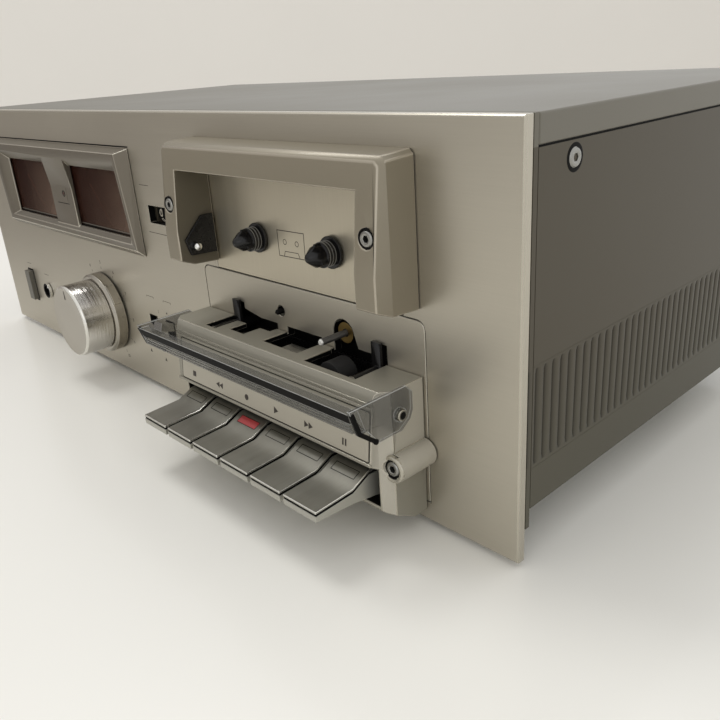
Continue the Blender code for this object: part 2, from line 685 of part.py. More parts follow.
def make_cabinet():
    """Chassis tray, top cover, ribbed side panels, rear panel and feet."""
    piece("chassis", STEEL, prism("y", channel(INNER_HALF, CHASSIS_Z, CHASSIS_FLANGE, CHASSIS_THICK, 1),
                                  CABINET_Y, REAR_Y - GAP))
    piece("top_cover", TOP_PAINT, prism("y", channel(HALF_WIDTH, TOP_Z, COVER_FLANGE, COVER_THICK, -1),
                                        CABINET_Y, CABINET_DEPTH))
    for name, side in (("left", -1), ("right", 1)):
        make_side_panel(name, side)
    rear = box((-INNER_HALF, REAR_Y, CHASSIS_Z), (INNER_HALF, CABINET_DEPTH, TOP_Z - COVER_THICK - GAP))
    gland = turned("y", (GLAND_X, GLAND_Z), [(0, REAR_Y), (GLAND_RADIUS, REAR_Y),
                                             (GLAND_RADIUS, CABINET_DEPTH + GLAND_REACH),
                                             (0, CABINET_DEPTH + GLAND_REACH)], STEPS)
    bore = rod("y", (GLAND_X, GLAND_Z), GLAND_BORE_RADIUS, REAR_Y - OVERRUN,
               CABINET_DEPTH + GLAND_REACH + OVERRUN)
    piece("rear_panel", TOP_PAINT, rear, add=[gland], cut=[bore])
    for end, y in (("front", FOOT_INSET_Y), ("rear", CABINET_DEPTH - FOOT_INSET_Y)):
        for name, side in (("left", -1), ("right", 1)):
            centre = (side * (HALF_WIDTH - FOOT_INSET_X), y)
            foot = turned("z", centre, [(0, 0), (FOOT_RADIUS - FOOT_TAPER, 0), (FOOT_RADIUS, FOOT_HEIGHT),
                                        (0, FOOT_HEIGHT)], STEPS)
            piece(f"foot_{end}_{name}", BLACK_PLASTIC, foot)


def make_side_panel(name, side):
    """Side panel with a band of upright grooves, and two screws on the right-hand one."""
    top = TOP_Z - COVER_FLANGE - COVER_SEAM
    inner = side * (HALF_WIDTH - SIDE_THICK)
    outer = side * HALF_WIDTH
    low, high = min(inner, outer), max(inner, outer)
    panel = box((low, CABINET_Y, SIDE_BOTTOM), (high, CABINET_DEPTH, top))
    start = CABINET_Y + RIB_MARGIN
    count = int((CABINET_DEPTH - RIB_MARGIN - start) / RIB_PITCH)
    grooves = bmesh.new()
    for i in range(count + 1):
        groove_y = start + i * RIB_PITCH
        groove = box((side * (HALF_WIDTH - RIB_DEPTH), groove_y, RIB_BOTTOM),
                     (side * (HALF_WIDTH + OVERRUN), groove_y + RIB_GROOVE, RIB_TOP))
        mesh = bpy.data.meshes.new("groove")
        groove.to_mesh(mesh)
        groove.free()
        grooves.from_mesh(mesh)
        bpy.data.meshes.remove(mesh)
    cuts = [close(grooves)]
    face = side * (HALF_WIDTH - SCREW_SINK)
    for end, y in (("front", SIDE_SCREW_INSET), ("rear", CABINET_DEPTH - SIDE_SCREW_INSET)):
        centre = (y, top - SIDE_SCREW_DROP)
        cuts.append(screw_seat("x", centre, outer, face, -side, SIDE_SCREW_LENGTH))
        if side > 0:
            screw(f"side_screw_{end}", "x", centre, face, -side, SIDE_SCREW_LENGTH)
    piece(f"side_panel_{name}", SIDE_PAINT, panel, cut=cuts)


def make_meters():
    """Bezel with two sloped windows, glass, meter unit and its two needles."""
    low, high = -BEZEL_REACH_BOTTOM, -BEZEL_REACH_TOP
    back = [(x, -GAP, z) for x in (BEZEL_LEFT, BEZEL_RIGHT) for z in (BEZEL_BOTTOM, BEZEL_TOP)]
    rim_bottom = BEZEL_BOTTOM + 2 * BEZEL_SLOPE_BOTTOM
    rim_top = BEZEL_TOP - BEZEL_SLOPE_TOP / 2
    rim = [(BEZEL_LEFT + BEZEL_SLOPE_TOP, high, rim_top), (BEZEL_RIGHT - BEZEL_SLOPE_TOP, high, rim_top),
           (BEZEL_LEFT + BEZEL_SLOPE_BOTTOM, low, rim_bottom),
           (BEZEL_RIGHT - BEZEL_SLOPE_BOTTOM, low, rim_bottom)]
    left_x = WINDOWS_X - WINDOWS_HALF
    right_x = WINDOWS_X + WINDOWS_HALF
    window_top = WINDOW_BOTTOM + WINDOW_HEIGHT
    floor = -BEZEL_FLOOR - GAP
    mouth = [(left - BEZEL_RIM * sign, y - OVERRUN * share, z - BEZEL_RIM * up)
             for left, y, z, sign, up, share in (
                 (rim[0][0], high, rim_top, -1, 1, 1), (rim[1][0], high, rim_top, 1, 1, 1),
                 (rim[2][0], low, rim_bottom, -1, -1, 1), (rim[3][0], low, rim_bottom, 1, -1, 1))]
    pocket = hull(mouth + [(x, floor, z) for x in (left_x, right_x) for z in (WINDOW_BOTTOM, window_top)])
    knee = WINDOW_BOTTOM + PILLAR_REST_SHARE * WINDOW_HEIGHT
    pillar_low = floor - BEZEL_FLOOR
    middle = (WINDOWS_X - WINDOW_PILLAR / 2, WINDOWS_X + WINDOW_PILLAR / 2)
    pillar = prism("x", [(floor + BEZEL_FLOOR, WINDOW_BOTTOM - BEZEL_RIM),
                         (pillar_low, WINDOW_BOTTOM - BEZEL_RIM),
                         (pillar_low, knee), (high + BEZEL_RIM, rim_top - BEZEL_RIM),
                         (floor + BEZEL_FLOOR, rim_top - BEZEL_RIM)], *middle)
    windows = [box((x, -BEZEL_REACH_TOP - OVERRUN, WINDOW_BOTTOM), (x + WINDOW_WIDTH, OVERRUN, window_top))
               for x in (left_x, middle[1])]
    piece("meter_bezel", CHAMPAGNE, hull(back + rim), cut=[pocket], refill=[pillar], recut=windows)
    hole = wider(METER_HOLE, -GAP)
    pane_back = GAP + METER_GLASS
    piece("meter_window", BROWN_GLASS, box((hole[0], GAP, hole[2]), (hole[1], pane_back, hole[3])))
    front = pane_back + GAP
    scale = front + METER_SCALE_DEPTH
    pockets = []
    for name, x in (("left", left_x), ("right", middle[1])):
        centre = x + WINDOW_WIDTH / 2
        pockets.append(box((x, front - OVERRUN, hole[2] + METER_WALL),
                           (x + WINDOW_WIDTH, scale, hole[3] - METER_WALL)))
        make_needle(name, centre, hole[2] + METER_WALL + GAP + NEEDLE_HUB_RADIUS, front, scale)
    piece("meter_unit", PAPER, box((hole[0], front, hole[2]), (hole[1], front + METER_DEPTH, hole[3])),
          cut=pockets)


def make_needle(name, x, z, front, scale):
    """Meter needle on its hub, leaning left at rest."""
    middle = (front + scale) / 2
    lean = radians(NEEDLE_REST)
    along = Vector((-sin(lean), cos(lean)))
    across = Vector((cos(lean), sin(lean)))
    base = Vector((x, z))
    half = NEEDLE_WIDTH / 2
    outline = [base - across * half, base + across * half,
               base + along * NEEDLE_LENGTH + across * half * NEEDLE_TIP_SHARE,
               base + along * NEEDLE_LENGTH - across * half * NEEDLE_TIP_SHARE]
    blade = prism("y", outline, middle - NEEDLE_THICK / 2, middle + NEEDLE_THICK / 2)
    hub = rod("y", (x, z), NEEDLE_HUB_RADIUS, middle - NEEDLE_THICK, scale - GAP, STEPS_SMALL)
    piece(f"needle_{name}", BLACK_PLASTIC, hub, add=[blade], pivot=(x, middle, z))


def make_front_controls():
    """Power button, headphone jack, the two level controls and the lever switches."""
    left, right, bottom, top = wider(POWER_HOLE, -GAP)
    piece("power_button", GREY_PLASTIC, box((left, -POWER_REACH, bottom), (right, POWER_LENGTH - POWER_REACH,
                                                                           top)),
          pivot=(POWER_X, 0, POWER_Z))
    nut = -GAP - JACK_NUT_HEIGHT
    behind = CABINET_Y
    jack = turned("y", (JACK_X, JACK_Z), [
        (JACK_BORE_RADIUS, nut), (JACK_NUT_RADIUS, nut), (JACK_NUT_RADIUS, -GAP), (JACK_NECK_RADIUS, -GAP),
        (JACK_NECK_RADIUS, behind), (JACK_BODY_RADIUS, behind), (JACK_BODY_RADIUS, JACK_DEPTH),
        (0, JACK_DEPTH),
        (0, JACK_BORE_DEPTH), (JACK_BORE_RADIUS, JACK_BORE_DEPTH)], STEPS, ring=True)
    piece("headphone_jack", BLACK_PLASTIC, jack)
    axis = (KNOB_X, KNOB_Z)
    back = -RING_REACH - GAP
    knob = turned("y", axis, [
        (0, -KNOB_REACH), (KNOB_RADIUS - KNOB_BEVEL, -KNOB_REACH), (KNOB_RADIUS, KNOB_BEVEL - KNOB_REACH),
        (KNOB_RADIUS, back), (KNOB_SHAFT_RADIUS, back), (KNOB_SHAFT_RADIUS, KNOB_SHAFT_DEPTH),
        (0, KNOB_SHAFT_DEPTH)], STEPS_LARGE)
    piece("level_knob", POLISHED, knob, pivot=(KNOB_X, 0, KNOB_Z))
    ring = turned("y", axis, [
        (KNOB_SHAFT_RADIUS + GAP, -RING_REACH), (RING_RADIUS - RING_CHAMFER, -RING_REACH),
        (RING_RADIUS, RING_CHAMFER - RING_REACH), (RING_RADIUS, -RING_FOOT), (RING_SLEEVE_RADIUS, -RING_FOOT),
        (RING_SLEEVE_RADIUS, CABINET_Y - GAP), (KNOB_SHAFT_RADIUS + GAP, CABINET_Y - GAP)], STEPS_LARGE,
        ring=True)
    lugs = [prism("y", arc(axis, RING_RADIUS + RING_LUG_HEIGHT, angle - RING_LUG_ARC, angle + RING_LUG_ARC,
                           CORNER_STEPS)
                  + arc(axis, RING_RADIUS - RING_CHAMFER, angle + RING_LUG_ARC, angle - RING_LUG_ARC,
                        CORNER_STEPS),
                  RING_CHAMFER - RING_REACH, -RING_FOOT - OVERLAP) for angle in (RING_LUG_ANGLE,)]
    piece("level_ring", POLISHED, ring, add=lugs, pivot=(KNOB_X, 0, KNOB_Z))
    pot_back = CABINET_Y + POT_DEPTH
    pot = turned("y", axis, [(0, KNOB_SHAFT_DEPTH + GAP), (KNOB_SHAFT_RADIUS + GAP, KNOB_SHAFT_DEPTH + GAP),
                             (KNOB_SHAFT_RADIUS + GAP, CABINET_Y), (POT_RADIUS, CABINET_Y),
                             (POT_RADIUS, pot_back),
                             (0, pot_back)], STEPS)
    piece("level_pot", STEEL, pot)
    for name, x, tilt in (("left", LEVER_XS[0], -LEVER_ANGLE), ("right", LEVER_XS[1], LEVER_ANGLE)):
        make_lever(name, x, tilt)


def make_lever(name, x, tilt):
    """Flat chromed lever of a switch, tilted up or down about its pivot behind the frame."""
    reach = LEVER_REACH + LEVER_PIVOT_Y
    turn = radians(tilt)
    corners = [(-reach, -LEVER_THICK / 2), (-reach, LEVER_THICK / 2), (LEVER_TAIL, LEVER_THICK / 2),
               (LEVER_TAIL, -LEVER_THICK / 2)]
    outline = [(LEVER_PIVOT_Y + y * cos(turn) + z * sin(turn), LEVER_Z - y * sin(turn) + z * cos(turn))
               for y, z in corners]
    piece(f"lever_switch_{name}", POLISHED, prism("x", outline, x - LEVER_WIDTH / 2, x + LEVER_WIDTH / 2),
          pivot=(x, LEVER_PIVOT_Y, LEVER_Z))


def make_counter():
    """Tape counter: frame with an axle, three number wheels and the reset button."""
    left, right, bottom, top = WHEELS_HOLE
    axle_y = PLATE_THICK + GAP + WHEEL_RADIUS
    back = axle_y + WHEEL_RADIUS + GAP + COUNTER_WALL
    frame = box((left - COUNTER_WALL, CABINET_Y, bottom), (right + COUNTER_WALL, back, top))
    inside = box((left, CABINET_Y - OVERRUN, bottom - OVERRUN), (right, back - COUNTER_WALL, top + OVERRUN))
    axle = rod("x", (axle_y, COUNTER_Z), WHEEL_AXLE_RADIUS, left - OVERLAP, right + OVERLAP, STEPS_SMALL)
    piece("counter_frame", BLACK_PLASTIC, frame, cut=[inside], refill=[axle])
    for index, name in enumerate(WHEEL_NAMES):
        x = COUNTER_X + (index - (len(WHEEL_NAMES) - 1) / 2) * WHEEL_PITCH
        wheel = turned("x", (axle_y, COUNTER_Z), [
            (WHEEL_AXLE_RADIUS + GAP, x - WHEEL_WIDTH / 2), (WHEEL_RADIUS, x - WHEEL_WIDTH / 2),
            (WHEEL_RADIUS, x + WHEEL_WIDTH / 2), (WHEEL_AXLE_RADIUS + GAP, x + WHEEL_WIDTH / 2)], STEPS,
            ring=True)
        piece(f"counter_wheel_{name}", BLACK_PLASTIC, wheel, pivot=(x, axle_y, COUNTER_Z))
    piece("counter_reset", BLACK_PLASTIC, rod("y", (RESET_X, COUNTER_Z), RESET_RADIUS, -RESET_REACH,
                                              RESET_LENGTH - RESET_REACH), pivot=(RESET_X, 0, COUNTER_Z))


def hood_front(z):
    """Depth of the hood's leaning front face at a height."""
    share = min(1, (HOOD_EDGE_Z - z) / (HOOD_EDGE_Z - HOOD_CREASE_Z))
    return -HOOD_REACH_TOP - share * (HOOD_REACH_LEG - HOOD_REACH_TOP)


def make_hood():
    """Inverted-U housing round the cassette, its two screws and the black guide on its left inner wall."""
    half = HOOD_WIDTH / 2
    points = []
    for sign in (-1, 1):
        side = BAY_X + sign * half
        points += [(side, -GAP, HOOD_BOTTOM), (side, -HOOD_SHOULDER, HOOD_BOTTOM + HOOD_FOOT_RISE)]
        front = side - sign * HOOD_SIDE_CHAMFER
        points += [(front, -HOOD_REACH_LEG, HOOD_CREASE_Z),
                   (front, -HOOD_REACH_LEG, HOOD_BOTTOM + HOOD_FOOT_FRONT_RISE)]
        for x, y, z in ((side, -GAP, HOOD_TOP), (side, -HOOD_SHOULDER, HOOD_TOP - HOOD_TOP_FALL),
                        (front, -HOOD_REACH_TOP, HOOD_EDGE_Z)):
            points += [(x, y, z - HOOD_CORNER), (x - sign * HOOD_CORNER, y, z)]
    lip_back = HOOD_LIP_THICK - HOOD_REACH_TOP
    cavity = box((BAY_LEFT, lip_back, HOOD_BOTTOM - OVERRUN), (BAY_RIGHT, OVERRUN, HOOD_CEILING))
    mouth = box((BAY_LEFT, -HOOD_REACH_LEG - OVERRUN, HOOD_BOTTOM - OVERRUN),
                (BAY_RIGHT, OVERRUN, HOOD_CEILING - HOOD_LIP))
    face = hood_front(HOOD_SCREW_Z) + SCREW_SINK
    leg_middle = (half + CASSETTE_WIDTH / 2 + CASSETTE_PLAY) / 2
    seats = []
    for name, sign in (("left", -1), ("right", 1)):
        centre = (BAY_X + sign * leg_middle, HOOD_SCREW_Z)
        seats.append(screw_seat("y", centre, -HOOD_REACH_LEG, face, 1, HOOD_SCREW_LENGTH))
        screw(f"hood_screw_{name}", "y", centre, face, 1, HOOD_SCREW_LENGTH)
    piece("cassette_hood", HOOD_METAL, hull(points), cut=[cavity, mouth] + seats)
    outline = [(-GUIDE_BACK - across * (GUIDE_REACH - GUIDE_BACK), GUIDE_BOTTOM + up * GUIDE_HEIGHT)
               for across, up in GUIDE_SHARES]
    piece("cassette_guide", BLACK_PLASTIC, prism("x", outline, BAY_LEFT + GAP, BAY_LEFT + GAP + GUIDE_THICK))


def make_spindles():
    """Bright plate behind the cassette and the two reel spindles that pass through it."""
    left, right, bottom, top = wider(SPINDLE_BAY, -GAP)
    plate = box((left, 0, INSERT_TOP + 2 * GAP), (right, SPINDLE_PLATE_THICK, top))
    holes = [rod("y", (x, SPINDLE_Z), SPINDLE_NECK_RADIUS + GAP, -OVERRUN, SPINDLE_PLATE_THICK + OVERRUN)
             for x in SPINDLE_XS]
    piece("spindle_plate", BRIGHT_METAL, plate, cut=holes)
    for name, x in zip(("supply", "takeup"), SPINDLE_XS):
        make_spindle(name, x)


def make_spindle(name, x):
    """Reel spindle: pointed body with drive fins, flange, reel disc and shaft."""
    flange = -GAP - SPINDLE_FLANGE_HEIGHT
    shoulder = SPINDLE_TIP_HEIGHT - SPINDLE_REACH
    disc = SPINDLE_PLATE_THICK + GAP
    disc_back = disc + SPINDLE_DISC_HEIGHT
    profile = [(0, -SPINDLE_REACH), (SPINDLE_TIP_RADIUS, -SPINDLE_REACH + SPINDLE_TIP_RADIUS / 2),
               (SPINDLE_BODY_RADIUS, shoulder), (SPINDLE_BODY_RADIUS, flange),
               (SPINDLE_FLANGE_RADIUS, flange),
               (SPINDLE_FLANGE_RADIUS, -GAP), (SPINDLE_NECK_RADIUS, -GAP), (SPINDLE_NECK_RADIUS, disc),
               (SPINDLE_DISC_RADIUS, disc), (SPINDLE_DISC_RADIUS, disc_back),
               (SPINDLE_SHAFT_RADIUS, disc_back),
               (SPINDLE_SHAFT_RADIUS, MECH_BACK + OVERRUN), (0, MECH_BACK + OVERRUN)]
    fins = []
    for i in range(SPINDLE_FINS):
        angle = pi / 2 + 2 * pi * i / SPINDLE_FINS
        along = Vector((cos(angle), sin(angle)))
        across = Vector((-sin(angle), cos(angle))) * SPINDLE_FIN_WIDTH / 2
        base = Vector((x, SPINDLE_Z))
        outline = [base - across, base + along * SPINDLE_FIN_RADIUS - across,
                   base + along * SPINDLE_FIN_RADIUS + across, base + across]
        fins.append(prism("y", outline, shoulder, flange + OVERLAP / 2))
    piece(f"spindle_{name}", BLACK_PLASTIC, turned("y", (x, SPINDLE_Z), profile, STEPS), add=fins,
          pivot=(x, 0, SPINDLE_Z))


def block_profile():
    """Side outline of the head housing's block: toe, keyway face, lip, leaning label face and shelf edge."""
    front = -BLOCK_REACH
    lip = front - LIP_REACH
    return [(-GAP, BLOCK_BOTTOM), (-BLOCK_TOE, BLOCK_BOTTOM),
            (front + BLOCK_EDGE, BLOCK_BOTTOM + BLOCK_TOE_RISE),
            (front, BLOCK_BOTTOM + BLOCK_TOE_RISE + BLOCK_EDGE), (front, LIP_Z - LIP_HEIGHT),
            (lip + BLOCK_EDGE, LIP_Z - BLOCK_EDGE), (lip, LIP_Z), (front - BLOCK_EDGE, SHELF_Z - LIP_HEIGHT),
            (front, SHELF_Z - BLOCK_EDGE), (front + BLOCK_EDGE, SHELF_Z), (-GAP, SHELF_Z)]


def make_head_housing():
    """Insert plate and block with a shelf over the heads, a keyway below, a screw boss and two visor pins."""
    lip = -BLOCK_REACH - LIP_REACH
    block = prism("x", block_profile(), BLOCK_LEFT, BLOCK_RIGHT)
    plate = prism("y", insert_outline(0), 0, PLATE_THICK)
    neck = box((BLOCK_LEFT + BLOCK_EDGE, -OVERLAP, INSERT_BOTTOM + BLOCK_EDGE),
               (BLOCK_RIGHT - BLOCK_EDGE, OVERLAP, SHELF_Z - BLOCK_EDGE))
    boss = rod("y", (BOSS_X, BOSS_Z), BOSS_RADIUS, -BOSS_REACH, -GAP)
    pins = [rod("x", (VISOR_PIN_Y, VISOR_PIN_Z), VISOR_PIN_RADIUS, low, high, STEPS_SMALL) for low, high in (
        (BLOCK_LEFT - VISOR_PIN_LENGTH, BLOCK_LEFT + OVERLAP),
        (BLOCK_RIGHT - OVERLAP, BLOCK_RIGHT + VISOR_PIN_LENGTH))]
    cuts = []
    for x, sign in ((BLOCK_LEFT, 1), (BLOCK_RIGHT, -1)):
        corner = [(x - sign * OVERRUN, -BLOCK_REACH + BLOCK_CORNER), (x, -BLOCK_REACH + BLOCK_CORNER),
                  (x + sign * BLOCK_CORNER, -BLOCK_REACH),
                  (x + sign * (BLOCK_CORNER + BLOCK_EDGE), lip - OVERRUN),
                  (x - sign * OVERRUN, lip - OVERRUN)]
        cuts.append(prism("z", corner, BLOCK_BOTTOM - OVERRUN, SHELF_Z + OVERRUN))
    left, right = BLOCK_LEFT + BLOCK_WALL, BLOCK_RIGHT - BLOCK_WALL
    back = PLATE_THICK + OVERRUN
    cuts.append(box((left, lip - OVERRUN, KEYWAY_FLOOR), (right, back, KEYWAY_ROOF)))
    cuts.append(box((left, -BLOCK_REACH + BLOCK_FRONT_WALL, LIP_Z), (right, back, SHELF_Z - SHELF_THICK)))
    cuts.append(rod("x", (KEY_PIVOT_Y, KEY_PIVOT_Z), KEY_SHAFT_RADIUS + GAP, left - BLOCK_WALL / 2,
                    right + BLOCK_WALL / 2, STEPS_SMALL))
    cuts += shelf_cuts()
    face = -BOSS_REACH + BOSS_BORE_DEPTH - SCREW_HEAD_HEIGHT
    cuts.append(screw_seat("y", (BOSS_X, BOSS_Z), -BOSS_REACH, face, 1, BOSS_SCREW_LENGTH))
    piece("head_housing", HOOD_METAL, block, add=[plate, neck, boss] + pins, cut=cuts)
    screw("boss_screw", "y", (BOSS_X, BOSS_Z), face, 1, BOSS_SCREW_LENGTH)


def shelf_cuts():
    """Cut-outs of the shelf and the insert plate for the rods, the heads, the roller and the capstan."""
    low, high = SHELF_Z - SHELF_THICK - OVERRUN, SHELF_Z + OVERRUN
    back = PLATE_THICK + OVERRUN
    half = ROD_RADIUS + ROD_CUT_MARGIN
    cuts = []
    for x in ROD_XS:
        cuts.append(box((x - half, -CUT_EDGE, low), (x + half, back, high)))
        cuts.append(box((x - half, -OVERRUN, low), (x + half, back, ROD_NOTCH_TOP)))
    start = ROD_XS[0] - half
    end = start + LEFT_CUT_WIDTH
    cuts.append(box((start, -LEFT_CUT_BACK, low), (end, back, high)))
    cuts.append(prism("y", [(start, SHELF_Z), (end, SHELF_Z), (ROD_XS[0] + half, SHELF_Z + LEFT_CUT_RISE),
                            (start, SHELF_Z + LEFT_CUT_RISE)], -OVERRUN, back))
    cuts.append(box((ERASE_CUT_X - ERASE_CUT_WIDTH / 2, -HEAD_CUT_DEPTH, low),
                    (ERASE_CUT_X + ERASE_CUT_WIDTH / 2, -LEFT_CUT_BACK + OVERLAP, high)))
    cuts.append(box((HEAD_CUT_X - HEAD_CUT_WIDTH / 2, -HEAD_CUT_DEPTH, low),
                    (HEAD_CUT_X + HEAD_CUT_WIDTH / 2, back, high)))
    cuts.append(box((RIGHT_CUT_LEFT, -CUT_EDGE, low), (ROD_XS[1], back, high)))
    cuts.append(rod("y", (CAPSTAN_X, CAPSTAN_Z), CAPSTAN_HOLE_RADIUS, -OVERRUN, back))
    cuts.append(rod("y", (GUIDE_PIN_X, GUIDE_PIN_Z), 2 * GUIDE_PIN_RADIUS, -OVERRUN, back))
    slot_left = CAPSTAN_X - CAPSTAN_HOLE_RADIUS
    leave = radians(CAPSTAN_SLOT_ANGLE)
    slot = [(slot_left, CAPSTAN_Z), (CAPSTAN_X, CAPSTAN_Z),
            (CAPSTAN_X + CAPSTAN_HOLE_RADIUS * cos(leave), CAPSTAN_Z + CAPSTAN_HOLE_RADIUS * sin(leave)),
            (slot_left + CAPSTAN_SLOT_WIDTH, low), (slot_left, low)]
    cuts.append(prism("y", slot, -OVERRUN, back))
    return cuts


def make_visor():
    """Smoked visor: a bar across the front on two arms that turn on the block's pins."""
    back = VISOR_PIN_Y + VISOR_BACK
    front = VISOR_PIN_Y - VISOR_FRONT
    rounding = VISOR_BACK / 2
    outline = [(back, VISOR_PIN_Z), (back, VISOR_TOP - rounding), (back - rounding, VISOR_TOP),
               (front, VISOR_TOP),
               (front + VISOR_RAKE, VISOR_BAR_BOTTOM),
               (front + VISOR_RAKE + VISOR_BAR_THICK, VISOR_BAR_BOTTOM),
               (VISOR_PIN_Y - VISOR_HEEL, VISOR_BELLY), (VISOR_PIN_Y, VISOR_BELLY),
               (back - rounding / 2, VISOR_BELLY + rounding)]
    arms = []
    for x, sign in ((BLOCK_LEFT, -1), (BLOCK_RIGHT, 1)):
        inner = x + sign * VISOR_RUN_GAP
        outer = inner + sign * VISOR_THICK
        arms.append(prism("x", outline, min(inner, outer), max(inner, outer)))
    reach = VISOR_RUN_GAP + VISOR_THICK / 2
    rake = VISOR_RAKE * (VISOR_TOP - VISOR_BAR_TOP) / (VISOR_TOP - VISOR_BAR_BOTTOM)
    low = VISOR_BAR_BOTTOM + OVERLAP / 4
    bar = prism("x", [(front + rake + OVERLAP / 4, VISOR_BAR_TOP),
                      (front + rake + VISOR_BAR_THICK, VISOR_BAR_TOP),
                      (front + VISOR_RAKE + VISOR_BAR_THICK, low), (front + VISOR_RAKE + OVERLAP / 4, low)],
                BLOCK_LEFT - reach, BLOCK_RIGHT + reach)
    run = VISOR_RUN_GAP + VISOR_THICK + OVERRUN
    holes = rod("x", (VISOR_PIN_Y, VISOR_PIN_Z), VISOR_PIN_RADIUS + GAP, BLOCK_LEFT - run, BLOCK_RIGHT + run,
                STEPS_SMALL)
    piece("visor", SMOKED, bar, add=arms, cut=[holes], pivot=(BAY_X, VISOR_PIN_Y, VISOR_PIN_Z))


def make_keys():
    """Six piano keys on one shaft across the keyway."""
    outline = [(-KEY_REACH, KEY_FRONT_TOP - KEY_FRONT_HEIGHT), (-KEY_REACH, KEY_FRONT_TOP),
               (KEY_CREASE_Y, KEY_CREASE_TOP), (KEY_SLOPE_Y, KEY_BACK_TOP), (KEY_TAIL_Y, KEY_BACK_TOP),
               (KEY_TAIL_Y, KEY_BACK_BOTTOM), (KEY_HEEL_Y, KEY_BACK_BOTTOM),
               (KEY_CREASE_Y, KEY_CREASE_BOTTOM)]
    for index, name in enumerate(KEY_NAMES):
        x = KEYS_X + (index - (len(KEY_NAMES) - 1) / 2) * KEY_PITCH
        left, right = x - KEY_WIDTH / 2, x + KEY_WIDTH / 2
        bore = rod("x", (KEY_PIVOT_Y, KEY_PIVOT_Z), KEY_SHAFT_RADIUS + GAP, left - OVERRUN, right + OVERRUN,
                   STEPS_SMALL)
        piece(f"key_{name}", KEY_METAL, prism("x", outline, left, right), cut=[bore],
              pivot=(x, KEY_PIVOT_Y, KEY_PIVOT_Z))
    reach = BLOCK_WALL / 2 - GAP
    piece("key_shaft", STEEL, rod("x", (KEY_PIVOT_Y, KEY_PIVOT_Z), KEY_SHAFT_RADIUS,
                                  BLOCK_LEFT + BLOCK_WALL - reach, BLOCK_RIGHT - BLOCK_WALL + reach,
                                  STEPS_SMALL))


def make_mechanism():
    """Mechanism plate with the capstan's bearing, capstan with flywheel, motor, pulley and belt."""
    left = SPINDLE_BAY[0] - MECH_MARGIN
    right = SPINDLE_BAY[1] + MECH_MARGIN
    plate = box((left, MECH_Y, MECH_BOTTOM), (right, MECH_BACK, MECH_TOP))
    capstan = (CAPSTAN_X, CAPSTAN_Z)
    adds = [rod("y", (x, z), STANDOFF_RADIUS, CABINET_Y, MECH_Y + OVERLAP, STEPS_SMALL)
            for x in (left + STANDOFF_INSET, right - STANDOFF_INSET)
            for z in (MECH_BOTTOM + STANDOFF_INSET, MECH_TOP - STANDOFF_INSET)]
    adds.append(rod("y", capstan, BEARING_RADIUS, BEARING_FRONT, BEARING_BACK))
    adds.append(turned("y", (GUIDE_PIN_X, GUIDE_PIN_Z), [
        (0, -GUIDE_PIN_REACH), (GUIDE_PIN_RADIUS, GUIDE_PIN_RADIUS - GUIDE_PIN_REACH),
        (GUIDE_PIN_RADIUS, MECH_Y + OVERLAP), (0, MECH_Y + OVERLAP)], STEPS_SMALL))
    cuts = [rod("y", (x, SPINDLE_Z), SPINDLE_SHAFT_RADIUS + GAP, MECH_Y - OVERRUN, MECH_BACK + OVERRUN,
                STEPS_SMALL)
            for x in SPINDLE_XS]
    cuts.append(rod("y", capstan, CAPSTAN_RADIUS + GAP, BEARING_FRONT - OVERRUN, BEARING_BACK + OVERRUN,
                    STEPS_SMALL))
    piece("mechanism_plate", STEEL, plate, add=adds, cut=cuts)
    wheel_back = FLYWHEEL_Y + FLYWHEEL_HEIGHT
    profile = [(0, -CAPSTAN_REACH), (CAPSTAN_RADIUS * CAPSTAN_TIP_SHARE, -CAPSTAN_REACH),
               (CAPSTAN_RADIUS, -CAPSTAN_REACH + CAPSTAN_RADIUS / 2), (CAPSTAN_RADIUS, FLYWHEEL_Y),
               (FLYWHEEL_RADIUS, FLYWHEEL_Y), (FLYWHEEL_RADIUS, wheel_back), (CAPSTAN_RADIUS, wheel_back),
               (CAPSTAN_RADIUS, wheel_back + FLYWHEEL_TAIL), (0, wheel_back + FLYWHEEL_TAIL)]
    piece("capstan_flywheel", STEEL, turned("y", capstan, profile, STEPS_LARGE),
          pivot=(CAPSTAN_X, 0, CAPSTAN_Z))
    make_motor(wheel_back)


def make_motor(wheel_back):
    """Motor on the mechanism plate, its pulley, and the belt round the pulley and the flywheel."""
    motor = (MOTOR_X, MOTOR_Z)
    front = MECH_BACK + GAP
    back = front + MOTOR_LENGTH
    bore = PULLEY_SHAFT_RADIUS + GAP
    piece("motor", STEEL, turned("y", motor, [
        (0, front), (MOTOR_RADIUS, front), (MOTOR_RADIUS, back), (bore, back),
        (bore, back - MOTOR_BORE_DEPTH),
        (0, back - MOTOR_BORE_DEPTH)], STEPS))
    low = back + GAP
    piece("motor_pulley", BRASS, turned("y", motor, [
        (0, back - MOTOR_BORE_DEPTH + GAP), (PULLEY_SHAFT_RADIUS, back - MOTOR_BORE_DEPTH + GAP),
        (PULLEY_SHAFT_RADIUS, low), (PULLEY_RADIUS, low), (PULLEY_RADIUS, wheel_back), (0, wheel_back)],
        STEPS),
        pivot=(MOTOR_X, 0, MOTOR_Z))
    capstan = (CAPSTAN_X, CAPSTAN_Z)
    middle = (max(low, FLYWHEEL_Y) + wheel_back) / 2
    outer = belt_path(motor, PULLEY_RADIUS + GAP + BELT_THICK, capstan, FLYWHEEL_RADIUS + GAP + BELT_THICK)
    inner = belt_path(motor, PULLEY_RADIUS + GAP, capstan, FLYWHEEL_RADIUS + GAP)
    belt = prism("y", outer, middle - BELT_WIDTH / 2, middle + BELT_WIDTH / 2)
    piece("drive_belt", RUBBER, belt, cut=[prism("y", inner, middle - BELT_WIDTH, middle + BELT_WIDTH)])


